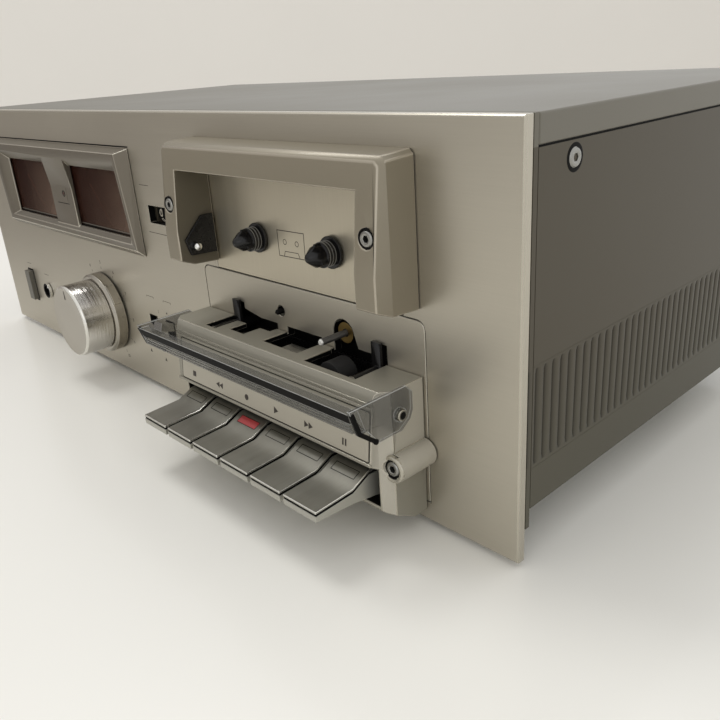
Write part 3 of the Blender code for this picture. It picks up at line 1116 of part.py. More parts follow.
def belt_path(small, small_radius, large, large_radius):
    """Outline of a belt round two circles: two arcs joined by their outer tangents."""
    run = hypot(large[0] - small[0], large[1] - small[1])
    heading = degrees(atan2(large[1] - small[1], large[0] - small[0]))
    wrap = degrees(acos((large_radius - small_radius) / run))
    return (arc(large, large_radius, heading - 180 + wrap, heading + 180 - wrap, STEPS)
            + arc(small, small_radius, heading + 180 - wrap, heading + 180 + wrap, STEPS_SMALL))


def make_carriage():
    """Head carriage with its guide rods, the two heads, the pinch arm and the pinch roller."""
    back = MECH_Y - GAP
    front = back - CARRIAGE_THICK
    left = ROD_XS[0] - CARRIAGE_MARGIN
    right = ROD_XS[1] + CARRIAGE_MARGIN
    plate = box((left, front, CARRIAGE_BOTTOM), (right, back, CARRIAGE_TOP))
    shelf_top = CARRIAGE_SHELF_Z + CARRIAGE_SHELF_THICK
    adds = [box((ERASE_CUT_X - ERASE_WIDTH / 2, -HEAD_FRONT, CARRIAGE_SHELF_Z),
                (HEAD_X + HEAD_WIDTH / 2, front + OVERLAP, shelf_top))]
    for x in ROD_XS:
        adds.append(rod("y", (x, ROD_Z), ROD_RADIUS, -ROD_REACH, back - OVERLAP / 2, STEPS_SMALL))
        adds.append(box((x - ROD_RADIUS / 2, front, CARRIAGE_TOP - OVERLAP),
                        (x + ROD_RADIUS / 2, back, ROD_Z)))
        adds.append(box((x - POST_WIDTH / 2, -POST_FRONT, ROD_Z), (x + POST_WIDTH / 2, -POST_BACK, POST_TOP)))
    pivot = (ARM_PIVOT_X, ARM_PIVOT_Z)
    hole = rod("y", pivot, ARM_SHAFT_RADIUS + GAP, front - OVERRUN, back + OVERRUN, STEPS_SMALL)
    piece("head_carriage", GREY_PLASTIC, plate, add=adds, cut=[hole])
    seat = shelf_top + GAP
    piece("record_head", POLISHED, box((HEAD_X - HEAD_WIDTH / 2, -HEAD_FRONT, seat),
                                       (HEAD_X + HEAD_WIDTH / 2, HEAD_DEPTH - HEAD_FRONT, HEAD_TOP)))
    piece("erase_head", POLISHED, box((ERASE_CUT_X - ERASE_WIDTH / 2, -HEAD_FRONT, seat),
                                      (ERASE_CUT_X + ERASE_WIDTH / 2, ERASE_DEPTH - HEAD_FRONT, ERASE_TOP)))
    roller = (ROLLER_X, ROLLER_Z)
    roller_back = ROLLER_WIDTH - ROLLER_FRONT
    arm_front = roller_back + GAP
    arm_back = arm_front + ARM_THICK
    reach = Vector(roller) - Vector(pivot)
    side = Vector((-reach.y, reach.x)).normalized() * ARM_HALF_WIDTH
    end = reach.normalized() * ARM_HALF_WIDTH
    outline = [Vector(pivot) - end - side, Vector(roller) + end - side, Vector(roller) + end + side,
               Vector(pivot) - end + side]
    shaft = rod("y", pivot, ARM_SHAFT_RADIUS, arm_front, back, STEPS_SMALL)
    axle = rod("y", roller, ROLLER_AXLE_RADIUS, -ROLLER_FRONT, arm_back, STEPS_SMALL)
    piece("pinch_arm", STEEL, prism("y", outline, arm_front, arm_back), add=[shaft, axle],
          pivot=(ARM_PIVOT_X, 0, ARM_PIVOT_Z))
    wheel = turned("y", roller, [
        (ROLLER_AXLE_RADIUS + GAP, -ROLLER_FRONT), (ROLLER_RADIUS, -ROLLER_FRONT),
        (ROLLER_RADIUS, roller_back),
        (ROLLER_AXLE_RADIUS + GAP, roller_back)], STEPS, ring=True)
    piece("pinch_roller", RUBBER, wheel, pivot=(ROLLER_X, 0, ROLLER_Z))


def make_electronics():
    """Transformer, circuit board on legs, and the strip of signal sockets."""
    rear = REAR_Y - TRANSFORMER_REAR
    floor = CHASSIS_TOP + GAP
    left, right = TRANSFORMER_X - TRANSFORMER_WIDTH / 2, TRANSFORMER_X + TRANSFORMER_WIDTH / 2
    core = box((left, rear - TRANSFORMER_DEPTH, floor), (right, rear, floor + TRANSFORMER_HEIGHT))
    bobbin = box((left + TRANSFORMER_BOBBIN, rear - TRANSFORMER_DEPTH - TRANSFORMER_BOBBIN,
                  floor + TRANSFORMER_BOBBIN),
                 (right - TRANSFORMER_BOBBIN, rear + TRANSFORMER_BOBBIN,
                  floor + TRANSFORMER_HEIGHT - TRANSFORMER_BOBBIN))
    piece("transformer", COPPER, core, add=[bobbin])
    board_z = floor + BOARD_RISE
    low = (BOARD_X - BOARD_WIDTH / 2, BOARD_FRONT)
    high = (BOARD_X + BOARD_WIDTH / 2, REAR_Y - BOARD_REAR)
    legs = [rod("z", (x, y), BOARD_LEG_RADIUS, floor, board_z + OVERLAP, STEPS_SMALL)
            for x in (low[0] + BOARD_LEG_INSET, high[0] - BOARD_LEG_INSET)
            for y in (low[1] + BOARD_LEG_INSET, high[1] - BOARD_LEG_INSET)]
    piece("circuit_board", BOARD_GREEN, box((*low, board_z), (*high, board_z + BOARD_THICK)), add=legs)
    face = CABINET_DEPTH + GAP
    half = (SOCKET_COUNT - 1) / 2 * SOCKET_PITCH
    strip = box((SOCKETS_X - half - SOCKET_MARGIN, face, SOCKETS_Z - SOCKET_PLATE_HEIGHT / 2),
                (SOCKETS_X + half + SOCKET_MARGIN, face + SOCKET_PLATE_THICK,
                 SOCKETS_Z + SOCKET_PLATE_HEIGHT / 2))
    end = CABINET_DEPTH + SOCKET_REACH
    places = [(SOCKETS_X - half + i * SOCKET_PITCH, SOCKETS_Z) for i in range(SOCKET_COUNT)]
    shells = [rod("y", at, SOCKET_RADIUS, face + SOCKET_PLATE_THICK - OVERLAP, end,
                  STEPS_SMALL) for at in places]
    bores = [rod("y", at, SOCKET_BORE_RADIUS, face + SOCKET_PLATE_THICK, end + OVERRUN, STEPS_SMALL)
             for at in places]
    piece("socket_strip", BLACK_PLASTIC, strip, add=shells, cut=bores)


def main():
    """Clear the scene and build the deck."""
    for old in list(bpy.data.objects):
        bpy.data.objects.remove(old)
    origin = bpy.data.objects.new("deck_origin", None)
    origin.location = (0, -DEPTH_MIDDLE, 0)
    bpy.context.collection.objects.link(origin)
    make_faceplate()
    make_front_frame()
    make_cabinet()
    make_meters()
    make_front_controls()
    make_counter()
    make_hood()
    make_spindles()
    make_head_housing()
    make_visor()
    make_keys()
    make_mechanism()
    make_carriage()
    make_electronics()


main()
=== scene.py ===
"""Looks of a front-loading stereo cassette deck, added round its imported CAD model."""

import json
import math
from typing import NamedTuple

import bmesh
import bpy
import numpy as np
from bpy.props import FloatProperty, FloatVectorProperty, IntProperty, PointerProperty
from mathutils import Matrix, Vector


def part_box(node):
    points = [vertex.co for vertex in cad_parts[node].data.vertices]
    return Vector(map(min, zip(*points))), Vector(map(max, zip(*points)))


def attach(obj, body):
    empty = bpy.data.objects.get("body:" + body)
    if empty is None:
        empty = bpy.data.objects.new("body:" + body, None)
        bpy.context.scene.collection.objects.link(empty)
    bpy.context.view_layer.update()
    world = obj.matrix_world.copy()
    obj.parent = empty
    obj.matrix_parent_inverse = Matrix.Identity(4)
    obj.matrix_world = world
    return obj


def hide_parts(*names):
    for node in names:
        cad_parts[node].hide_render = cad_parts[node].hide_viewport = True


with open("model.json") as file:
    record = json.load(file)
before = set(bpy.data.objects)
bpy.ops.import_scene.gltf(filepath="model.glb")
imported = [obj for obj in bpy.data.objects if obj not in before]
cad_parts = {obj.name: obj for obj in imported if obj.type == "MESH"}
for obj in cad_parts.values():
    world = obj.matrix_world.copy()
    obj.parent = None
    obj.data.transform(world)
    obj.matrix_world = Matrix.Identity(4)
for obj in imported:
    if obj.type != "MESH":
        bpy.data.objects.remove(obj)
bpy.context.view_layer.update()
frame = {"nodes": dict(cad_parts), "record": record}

bl_info = {
    "name": "Cassette Deck",
    "version": (1, 0, 0),
    "blender": (4, 5, 0),
    "location": "3D View > Sidebar > Deck",
    "description": "Finishes, printed marks and fine parts for the packed cassette deck",
    "category": "Object",
}

# Places from the frame, in deck millimetres: right of the deck's middle, into the deck from its faceplate, up

MM = 0.001
PLATE_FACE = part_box("faceplate")[0].y
BEHAVIOUR = frame["record"]["behaviour"]
BODY = {node: body for body, nodes in BEHAVIOUR["bodies"].items() for node in nodes}
SLOT = {row["node"]: row["material_slot"] for row in frame["record"]["subparts"]}


def in_deck(place):
    """A place in metres, as deck millimetres."""
    return (np.array(place) - (0, PLATE_FACE, 0)) / MM


def in_metres(places):
    """Places in deck millimetres, as metres."""
    return np.asarray(places) * MM + (0, PLATE_FACE, 0)


def corners(node):
    """The lowest and the highest corner of a CAD node."""
    low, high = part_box(node)
    return in_deck(low), in_deck(high)


PIVOT = {joint["name"]: in_deck(joint["pos_m"]) for joint in BEHAVIOUR["joints"] if joint.get("pos_m")}


# Sizes and colours

def paint(red, green, blue):
    """A colour given in 0 to 255 steps, as the linear colour that shaders take."""
    steps = np.array((red, green, blue)) / 255
    return tuple(np.where(steps <= 0.04045, steps / 12.92, ((steps + 0.055) / 1.055) ** 2.4).tolist())


def colour(label, description, red, green, blue):
    """A colour property with its default."""
    return FloatVectorProperty(name=label, description=description, subtype="COLOR", size=3, min=0, max=1,
                               default=paint(red, green, blue))


def length(label, description, millimetres):
    """A length property with its default, kept in metres."""
    return FloatProperty(name=label, description=description, default=millimetres * MM, min=0,
                         unit="LENGTH", precision=5)


class DeckSizes(bpy.types.PropertyGroup):
    """Sizes that a user may change before the pieces are made."""
    edge: length("Metal edge", "Width of the softened edge of sheet and cast metal", 0.3)
    fine_edge: length("Small edge", "Width of the softened edge of small parts", 0.12)
    line: length("Printed line", "Width of a printed line", 0.28)
    rib_pitch: length("Rib pitch", "Distance between the ribs of a side panel", 4.45)
    rib_depth: length("Rib depth", "Depth of the grooves between the ribs", 0.85)
    dial_digit: length("Dial number", "Height of the numbers round the level dial", 1.9)
    wheel_digit: length("Counter number", "Height of the numbers on the tape counter", 3.9)
    dial_steps: IntProperty(name="Dial steps", description="Steps on the level dial", default=10, min=2)


class DeckColours(bpy.types.PropertyGroup):
    """Colours that a user may change before the finishes are made."""
    plate: colour("Faceplate", "Anodised champagne of the faceplate", 184, 178, 164)
    hood: colour("Hood", "Champagne paint of the cassette hood", 134, 126, 109)
    block: colour("Head block", "Moulded housing below the cassette bay", 146, 142, 129)
    cover: colour("Top cover", "Paint of the top cover", 105, 101, 90)
    side: colour("Side panel", "Paint of the side panels", 76, 70, 58)
    key: colour("Keys", "Brushed metal of the key tops", 152, 150, 141)
    glass: colour("Meter glass", "Tint of the meter window", 48, 26, 20)
    record: colour("Record mark", "Inlay of the record key", 158, 48, 48)
    ink: colour("Ink", "Printed lines and marks", 52, 44, 38)
    table: colour("Table", "Top that the deck stands on", 233, 231, 224)
    wall: colour("Wall", "Wall behind the deck", 221, 217, 210)


# Softened edges that the two common widths don't suit
PLATE_EDGE, COVER_EDGE, FOOT_EDGE, HOOD_EDGE = 0.22 * MM, 0.7 * MM, 0.8 * MM, 0.45 * MM
MOULDED_EDGE, LEVER_EDGE, STRIP_EDGE, SMALL_EDGE = 0.25 * MM, 0.2 * MM, 0.18 * MM, 0.15 * MM
THIN_EDGE, HAIR_EDGE = 0.1 * MM, 0.08 * MM

# Ribbed band of the side panels, and the joint between them and the cover
RIB_LOW, RIB_HIGH, RIB_START = 35.5, 68.3, 8.0
SEAM, SEAM_HALF, SEAM_NEAR, SEAM_FAR, SEAM_LAYER = 131.35, 0.45, 0.1, 0.2, (-1.3, -0.4)


# Shader maths

class Wire:
    """One output inside a finish. Sums, products and comparisons of wires add Math nodes to it."""

    def __init__(self, finish, socket):
        self.finish, self.socket = finish, socket

    def maths(self, operation, *values):
        return self.finish.node("ShaderNodeMath", {"operation": operation}, dict(enumerate(values)))

    def __add__(self, other):
        return self.maths("ADD", self, other)

    def __sub__(self, other):
        return self.maths("SUBTRACT", self, other)

    def __rsub__(self, other):
        return self.maths("SUBTRACT", other, self)

    def __mul__(self, other):
        return self.maths("MULTIPLY", self, other)

    def __truediv__(self, other):
        return self.maths("DIVIDE", self, other)

    def __pow__(self, other):
        return self.maths("POWER", self, other)

    def __gt__(self, other):
        return self.maths("GREATER_THAN", self, other)

    def __lt__(self, other):
        return self.maths("LESS_THAN", self, other)

    def __abs__(self):
        return self.maths("ABSOLUTE", self)

    __radd__, __rmul__ = __add__, __mul__

    def sine(self):
        return self.maths("SINE", self)

    def held(self):
        """The value kept between 0 and 1."""
        return self.finish.node("ShaderNodeClamp", {}, {0: self})


class Graph:
    """A node tree being filled."""

    def __init__(self, tree):
        self.tree = tree

    def node(self, kind, settings=None, sockets=None, output=0):
        """Adds a node, gives it its settings, then values or wires for its sockets."""
        node = self.tree.nodes.new(kind)
        for key, value in (settings or {}).items():
            if key == "stops":
                self.set_stops(node.color_ramp, value)
            else:
                setattr(node, key, value)
        for key, value in (sockets or {}).items():
            self.feed(node.inputs[key], value)
        return Wire(self, node.outputs[output])

    def feed(self, socket, value):
        """Links a wire to a socket, or sets the socket's own value."""
        if isinstance(value, Wire):
            self.tree.links.new(value.socket, socket)
        elif socket.type == "RGBA":
            socket.default_value = (*value, 1)
        else:
            socket.default_value = value

    @staticmethod
    def set_stops(ramp, stops):
        """Puts (place, grey or colour) stops on a ramp."""
        while len(ramp.elements) < len(stops):
            ramp.elements.new(1)
        for element, (place, shade) in zip(ramp.elements, stops):
            element.position = place
            element.color = (*shade, 1) if isinstance(shade, tuple) else (shade, shade, shade, 1)

    def split(self, vector):
        """The three parts of a vector."""
        node = self.tree.nodes.new("ShaderNodeSeparateXYZ")
        self.tree.links.new(vector.socket, node.inputs[0])
        return [Wire(self, output) for output in node.outputs]

    def mixed(self, share, one, other):
        """Colour one, with a share of the other."""
        return self.node("ShaderNodeMix", {"data_type": "RGBA"}, {0: share, 6: one, 7: other}, 2)

    def shaded(self, tone, shade):
        """Colour times a value."""
        return self.node("ShaderNodeVectorMath", {"operation": "SCALE"}, {0: tone, "Scale": shade})


class Finish(Graph):
    """A material being made round its Principled shader."""

    def __init__(self, name):
        self.material = bpy.data.materials.new(name)
        self.material.use_nodes = True
        super().__init__(self.material.node_tree)
        self.shader = self.tree.nodes["Principled BSDF"]
        FINISHES[name] = self.material

    def place(self, centre=(0, 0, 0), turn=(0, 0, 0), stretch=(1, 1, 1)):
        """Places on the piece in metres, measured from a centre in deck millimetres, turned and stretched."""
        spot = self.node("ShaderNodeTexCoord", {}, {}, "Object")
        return self.node("ShaderNodeMapping", {"vector_type": "TEXTURE"}, {
            "Vector": spot, "Location": in_metres(centre).tolist(), "Rotation": turn,
            "Scale": [1 / value for value in stretch]})

    def noise(self, scale, detail=3, roughness=0.55, **where):
        return self.node("ShaderNodeTexNoise", {}, {
            "Vector": self.place(**where), "Scale": scale, "Detail": detail, "Roughness": roughness}, "Fac")

    def bump(self, height, depth, strength=1.0):
        """Lean of the surface for a height given in parts of a depth in millimetres."""
        return self.node("ShaderNodeBump", {}, {
            "Height": height, "Distance": depth * MM, "Strength": strength}, "Normal")

    def surface(self, **sockets):
        """Feeds the shader, with underscores for the spaces in its socket names."""
        for key, value in sockets.items():
            self.feed(self.shader.inputs[key.replace("_", " ")], value)
        return self.material


# Finishes. A noise's scale is the number of its grains in a metre.

FINISHES = {}
COMB, STREAK = 1900, 260
COMB_STRETCH = {"x": (0.02, 1, 1), "y": (1, 0.02, 1), "z": (1, 1, 0.02)}


def combed(name, tone, metal=0.85, rough=0.34, along="x", contrast=0.16, cloud=0.16):
    """Metal combed one way: noise stretched along the comb, and wide soft clouds, shade its colour
    and roughness, and the comb leans the surface a little."""
    stretch = COMB_STRETCH[along]
    finish = Finish(name)
    comb = finish.noise(COMB, 2, 0.6, stretch=stretch)
    streak = finish.noise(STREAK, 3, 0.6, stretch=stretch)
    wide = finish.noise(11, 4, 0.5)
    shade = 1 + (comb - 0.5) * contrast + (streak - 0.5) * contrast + (wide - 0.5) * cloud
    return finish.surface(
        Base_Color=finish.shaded(tone, shade), Metallic=metal,
        Roughness=(rough + (wide - 0.5) * 0.16 + (streak - 0.5) * 0.14).held(),
        Normal=finish.bump(comb, 0.012, 0.35))


def painted(name, tone, rough=0.45, metal=0.0, speck=0.10, cloud=0.10, grain=1500, depth=0.02, coat=0.0,
            shine=0.5):
    """Paint or moulding: fine specks and wide clouds shade it, and an orange-peel skin leans it."""
    finish = Finish(name)
    fine = finish.noise(grain, 2)
    wide = finish.noise(9, 4)
    shade = 1 + (fine - 0.5) * speck + (wide - 0.5) * cloud
    return finish.surface(
        Base_Color=finish.shaded(tone, shade), Metallic=metal, Coat_Weight=coat, Specular_IOR_Level=shine,
        Roughness=(rough + (wide - 0.5) * 0.2 + (fine - 0.5) * 0.1).held(),
        Normal=finish.bump(fine, depth, 0.4))


def edged(name, tone, rough=0.25, metal=0.7):
    """Metal of edges and small bright parts: wide soft clouds alone shade its colour and roughness; a lighter
    edge finish is a painted highlight.
    """
    finish = Finish(name)
    wide = finish.noise(60, 3)
    return finish.surface(Base_Color=finish.shaded(tone, 0.94 + wide * 0.12), Metallic=metal,
                          Roughness=(rough + (wide - 0.5) * 0.12).held())


def lathed(name, tone, centre, rough=0.16, metal=1.0, contrast=0.12, pitch=0.35, cloud=0.06, face=True,
           depth=0.004):
    """Metal turned about a line through its centre, into the deck: fine rings, by the distance from
    that line on a face, and uneven ones along it on a barrel, shade it and lean it."""
    finish = Finish(name)
    across, _, up = finish.split(finish.place(centre=centre))
    if face:
        rings = ((across * across + up * up) ** 0.5 * (2 * math.pi / (pitch * MM))).sine() * 0.5 + 0.5
    else:
        rings = finish.noise(1 / (pitch * MM), 2, stretch=(0.001, 1, 0.001))
    uneven = finish.noise(700, 3)
    wide = finish.noise(40, 3)
    shade = 1 + (rings * uneven - 0.3) * contrast + (wide - 0.5) * cloud
    return finish.surface(
        Base_Color=finish.shaded(tone, shade), Metallic=metal,
        Roughness=(rough + (uneven - 0.5) * 0.1 + (wide - 0.5) * 0.06).held(),
        Normal=finish.bump(rings, depth, 1.0))


def seen_through(name, tone, clear, rough, grain=60):
    """Tinted plastic: part of it lets light straight through, less where handling has dulled it."""
    finish = Finish(name)
    haze = finish.noise(grain, 4)
    return finish.surface(
        Base_Color=finish.shaded(tone, 0.85 + haze * 0.3), Roughness=(rough + (haze - 0.5) * 0.2).held(),
        Alpha=(1 - clear + (haze - 0.5) * 0.14).held())


GLASS_START = (-173, 0, 97)


def make_finishes(colours, sizes):
    """All of the deck's finishes."""
    knob, capstan = PIVOT["level_turn"], PIVOT["capstan_spin"]
    combed("champagne", colours.plate, metal=0.84, rough=0.38, contrast=0.07, cloud=0.14)
    combed("bright_champagne", paint(192, 184, 165), metal=0.8, rough=0.36, along="z", contrast=0.10,
           cloud=0.2)
    # Lighter finishes for the softened edges that bevels add: painted highlights along the edges.
    edged("bright_edge", paint(182, 177, 163))
    edged("bezel_edge", paint(190, 184, 170), rough=0.22)
    edged("hood_edge", paint(168, 160, 144), rough=0.22, metal=0.5)
    edged("key_edge", paint(220, 218, 210), rough=0.18, metal=0.9)
    combed("key_metal", colours.key, metal=0.9, rough=0.30, along="y", contrast=0.16, cloud=0.5)
    combed("key_body", paint(172, 170, 160), metal=0.6, rough=0.36, contrast=0.06)
    combed("steel", paint(150, 149, 144), metal=0.95, rough=0.28, contrast=0.12)
    combed("zinc", paint(142, 141, 130), metal=0.85, rough=0.42, contrast=0.05, cloud=0.3)
    painted("hood_paint", colours.hood, rough=0.40, metal=0.35, speck=0.06, cloud=0.06, coat=0.1)
    # A darker copy of the hood paint for the inside of the hood: painted shade.
    painted("hood_painted_shade", paint(96, 89, 74), rough=0.55, speck=0.08, cloud=0.1, shine=0.3)
    painted("bezel_paint", paint(112, 105, 93), rough=0.36, metal=0.45, speck=0.06, cloud=0.05)
    painted("block_moulding", colours.block, rough=0.42, metal=0.3, speck=0.06, cloud=0.08)
    # A lighter copy of the block moulding for the housing's right side: painted light.
    painted("block_side_painted_light", paint(176, 171, 158), rough=0.38, metal=0.3, speck=0.06, cloud=0.12)
    painted("cover_paint", colours.cover, rough=0.46, metal=0.15, speck=0.16, cloud=0.06, depth=0.03)
    painted("rear_paint", paint(96, 93, 86), rough=0.55, speck=0.14)
    painted("black_moulding", paint(18, 17, 17), rough=0.26, speck=0.3, cloud=0.3, shine=0.35)
    painted("black_gap", paint(13, 12, 11), rough=0.6, speck=0.3, cloud=0.3, shine=0.1)
    painted("grey_moulding", paint(90, 87, 78), rough=0.42, speck=0.08)
    # Lighter rings on the dark spindle collars: painted highlights.
    painted("collar_ring_highlight", paint(118, 116, 110), rough=0.42, speck=0.08)
    painted("rubber", paint(30, 29, 28), rough=0.78, speck=0.4, cloud=0.3, depth=0.06)
    painted("ink", colours.ink, rough=0.55, speck=0.2, cloud=0.2)
    painted("record_red", colours.record, rough=0.38, speck=0.12, cloud=0.25)
    painted("label_strip", paint(174, 168, 153), rough=0.34, metal=0.25, speck=0.05, cloud=0.08)
    painted("scale_paper", paint(74, 48, 40), rough=0.6, speck=0.2, cloud=0.3)
    painted("scale_print", paint(136, 106, 92), rough=0.6, speck=0.1)
    painted("ivory", paint(214, 206, 188), rough=0.5, speck=0.08)
    painted("needle_paint", paint(196, 120, 84), rough=0.5, speck=0.1)
    painted("iron", paint(96, 94, 90), rough=0.5, metal=0.7, speck=0.2, grain=500)
    painted("socket_red", paint(150, 34, 30), rough=0.35)
    painted("socket_white", paint(214, 210, 200), rough=0.35)
    edged("chrome", paint(222, 221, 217), rough=0.12, metal=1.0)
    edged("ground_steel", paint(226, 225, 220), rough=0.30, metal=0.45)
    lathed("knob_front", paint(182, 177, 167), knob, rough=0.30, contrast=0.10, pitch=0.5, depth=0.006)
    lathed("knob_side", paint(214, 211, 205), knob, rough=0.17, contrast=0.03, pitch=0.5, face=False,
           depth=0.13)
    lathed("ring_side", paint(164, 159, 149), knob, rough=0.18, contrast=0.03, pitch=0.3, face=False,
           depth=0.02)
    lathed("brass", paint(140, 118, 72), capstan, rough=0.34, contrast=0.3)
    seen_through("smoked", paint(84, 84, 82), 0.62, 0.14)
    # The lighter smoked edge for the visor's bevels is a painted highlight.
    seen_through("smoked_edge", paint(196, 197, 194), 0.40, 0.12)
    seen_through("smoked_rib", paint(112, 111, 106), 0.40, 0.16)
    make_window_glass(colours.glass)
    make_side_paint(colours.side, colours.cover, sizes)
    make_board()


def make_window_glass(tone):
    """Brown glass, darker to the left of each meter and lighter to the right and below: a painted reflection,
    with uneven dust. The run from left to right is the fraction of the distance along the window in steps
    from meter to meter."""
    finish = Finish("window_glass")
    across, _, up = finish.split(finish.place(centre=GLASS_START))
    step = float(PIVOT["right_meter"][0] - PIVOT["left_meter"][0]) * MM
    run = (across / step).maths("FRACT", across / step)
    dust = finish.noise(30, 4)
    # Painted reflection, lighter to the right and below in each meter, mixed with uneven dust.
    dust_and_reflection = (run * run * (0.5 - up * 16) + (dust - 0.5) * run * 0.5).held()
    finish.surface(Base_Color=finish.mixed(dust_and_reflection, tone, paint(150, 128, 112)), Roughness=0.2,
                   Alpha=(0.62 + dust_and_reflection * 0.5).held(), Specular_IOR_Level=0.02,
                   Normal=finish.bump(dust, 0.01, 0.2))


GROOVE_SHADE_INSET = 0.3
LOW_TINT, LOW_TINT_REACH = (1.12, 1.25, 1.30), 75


def make_side_paint(tone, cover, sizes):
    """Brown-grey paint with fine specks, a little greener and lighter towards the bottom edge, and darker in
    the grooves between its ribs as painted shade; the grooves follow the panel's own formula. The front frame
    has the cover's colour above the seam."""
    finish = Finish("side_paint")
    _, into, up = finish.split(finish.place())
    phase = (into - RIB_START * MM) * (math.pi / sizes.rib_pitch)
    groove = 1 - abs(phase.sine()) ** 0.5
    band = (up > (RIB_LOW + GROOVE_SHADE_INSET) * MM) * (up < (RIB_HIGH - GROOVE_SHADE_INSET) * MM)
    # Painted shade: darker in the grooves of the ribbed band.
    groove_shade = 1 - (groove * band * 0.75).held()
    low = (1 - up / (LOW_TINT_REACH * MM)).held()
    fine = finish.noise(1600, 2)
    wide = finish.noise(7, 4)
    tint = finish.mixed(low, tone, (np.array(tone) * LOW_TINT).tolist())
    shade = (1 + (fine - 0.5) * 0.14 + (wide - 0.5) * 0.14) * groove_shade
    tint = finish.mixed(up > SEAM * MM, tint, cover)
    finish.surface(Base_Color=finish.shaded(tint, shade), Metallic=0.1, Specular_IOR_Level=0.3,
                   Roughness=(0.48 + (wide - 0.5) * 0.15 + (fine - 0.5) * 0.1).held(),
                   Normal=finish.bump(fine, 0.03, 0.4))


def make_board():
    """Green lacquer over copper tracks, where cells of a pattern meet."""
    finish = Finish("board_lacquer")
    cells = finish.node("ShaderNodeTexVoronoi", {"feature": "DISTANCE_TO_EDGE"},
                        {"Vector": finish.place(), "Scale": 160})
    track = cells > 0.06
    finish.surface(Base_Color=finish.mixed(track, paint(48, 74, 40), paint(70, 104, 54)), Roughness=0.35,
                   Normal=finish.bump(track, 0.04, 0.5))


# Shapes. A layer is how low and how high a shape reaches over its plane.

class Plane(NamedTuple):
    """A flat place on the deck: its origin in deck millimetres, its two directions, and the way out of it."""
    origin: tuple
    across: tuple
    up: tuple
    out: tuple

    def points(self, flat, height):
        """Flat points (n, 2) raised by a height: origin plus each coordinate along its direction."""
        flat = np.asarray(flat, float)
        raised = np.broadcast_to(np.asarray(height, float), flat.shape[:1])
        return (np.asarray(self.origin, float) + flat[:, :1] * np.asarray(self.across, float)
                + flat[:, 1:2] * np.asarray(self.up, float) + raised[:, None] * np.asarray(self.out, float))

    def at(self, *origin):
        """The same plane through another origin."""
        return self._replace(origin=origin)


FRONT = Plane((0, 0, 0), (1, 0, 0), (0, 0, 1), (0, -1, 0))
BACK = Plane((0, 0, 0), (-1, 0, 0), (0, 0, 1), (0, 1, 0))
RIGHT = Plane((0, 0, 0), (0, 1, 0), (0, 0, 1), (1, 0, 0))
LEFT = Plane((0, 0, 0), (0, -1, 0), (0, 0, 1), (-1, 0, 0))


def skin(rows, columns, close_rows=False, close_columns=True):
    """Quads between the neighbouring rows and columns of a grid of points."""
    row = np.arange(rows if close_rows else rows - 1)
    column = np.arange(columns if close_columns else columns - 1)
    row, column = np.meshgrid(row, column, indexing="ij")
    next_row, next_column = (row + 1) % rows, (column + 1) % columns
    quads = (row * columns + column, row * columns + next_column,
             next_row * columns + next_column, next_row * columns + column)
    return np.stack(quads, -1).reshape(-1, 4)


def arc(radius, start, sweep, steps, centre=(0, 0)):
    """Points along part of a circle, with both its ends."""
    angle = np.linspace(start, start + sweep, steps)
    return np.stack((centre[0] + radius * np.cos(angle), centre[1] + radius * np.sin(angle)), -1)


def ring(radius, centre=(0, 0), steps=48):
    """Points round a whole circle."""
    return arc(radius, 0, 2 * math.pi * (1 - 1 / steps), steps, centre)


def oblong(left, low, right, high, radius=0.0, steps=5):
    """Corner points of a rectangle with rounded corners."""
    if not radius:
        return np.array(((left, low), (right, low), (right, high), (left, high)), float)
    bend = arc(radius, 0, math.pi / 2, steps)
    bends = ((right, high, 1, 1), (left, high, -1, 1), (left, low, -1, -1), (right, low, 1, -1))
    parts = [(bend * (sx, sy) + (x - sx * radius, y - sy * radius))[::sx * sy] for x, y, sx, sy in bends]
    return np.concatenate(parts)


FONT_SIZE, WHEEL_CUTS = 1.38, 7
SEAM_GAP, CORNER_GAP = 0.002 * MM, 0.001 * MM
SHARP_ANGLE, BEVEL_ANGLE, FLAT_ANGLE = math.radians(35), math.radians(38), math.radians(0.5)
RIM_CORNERS = 12


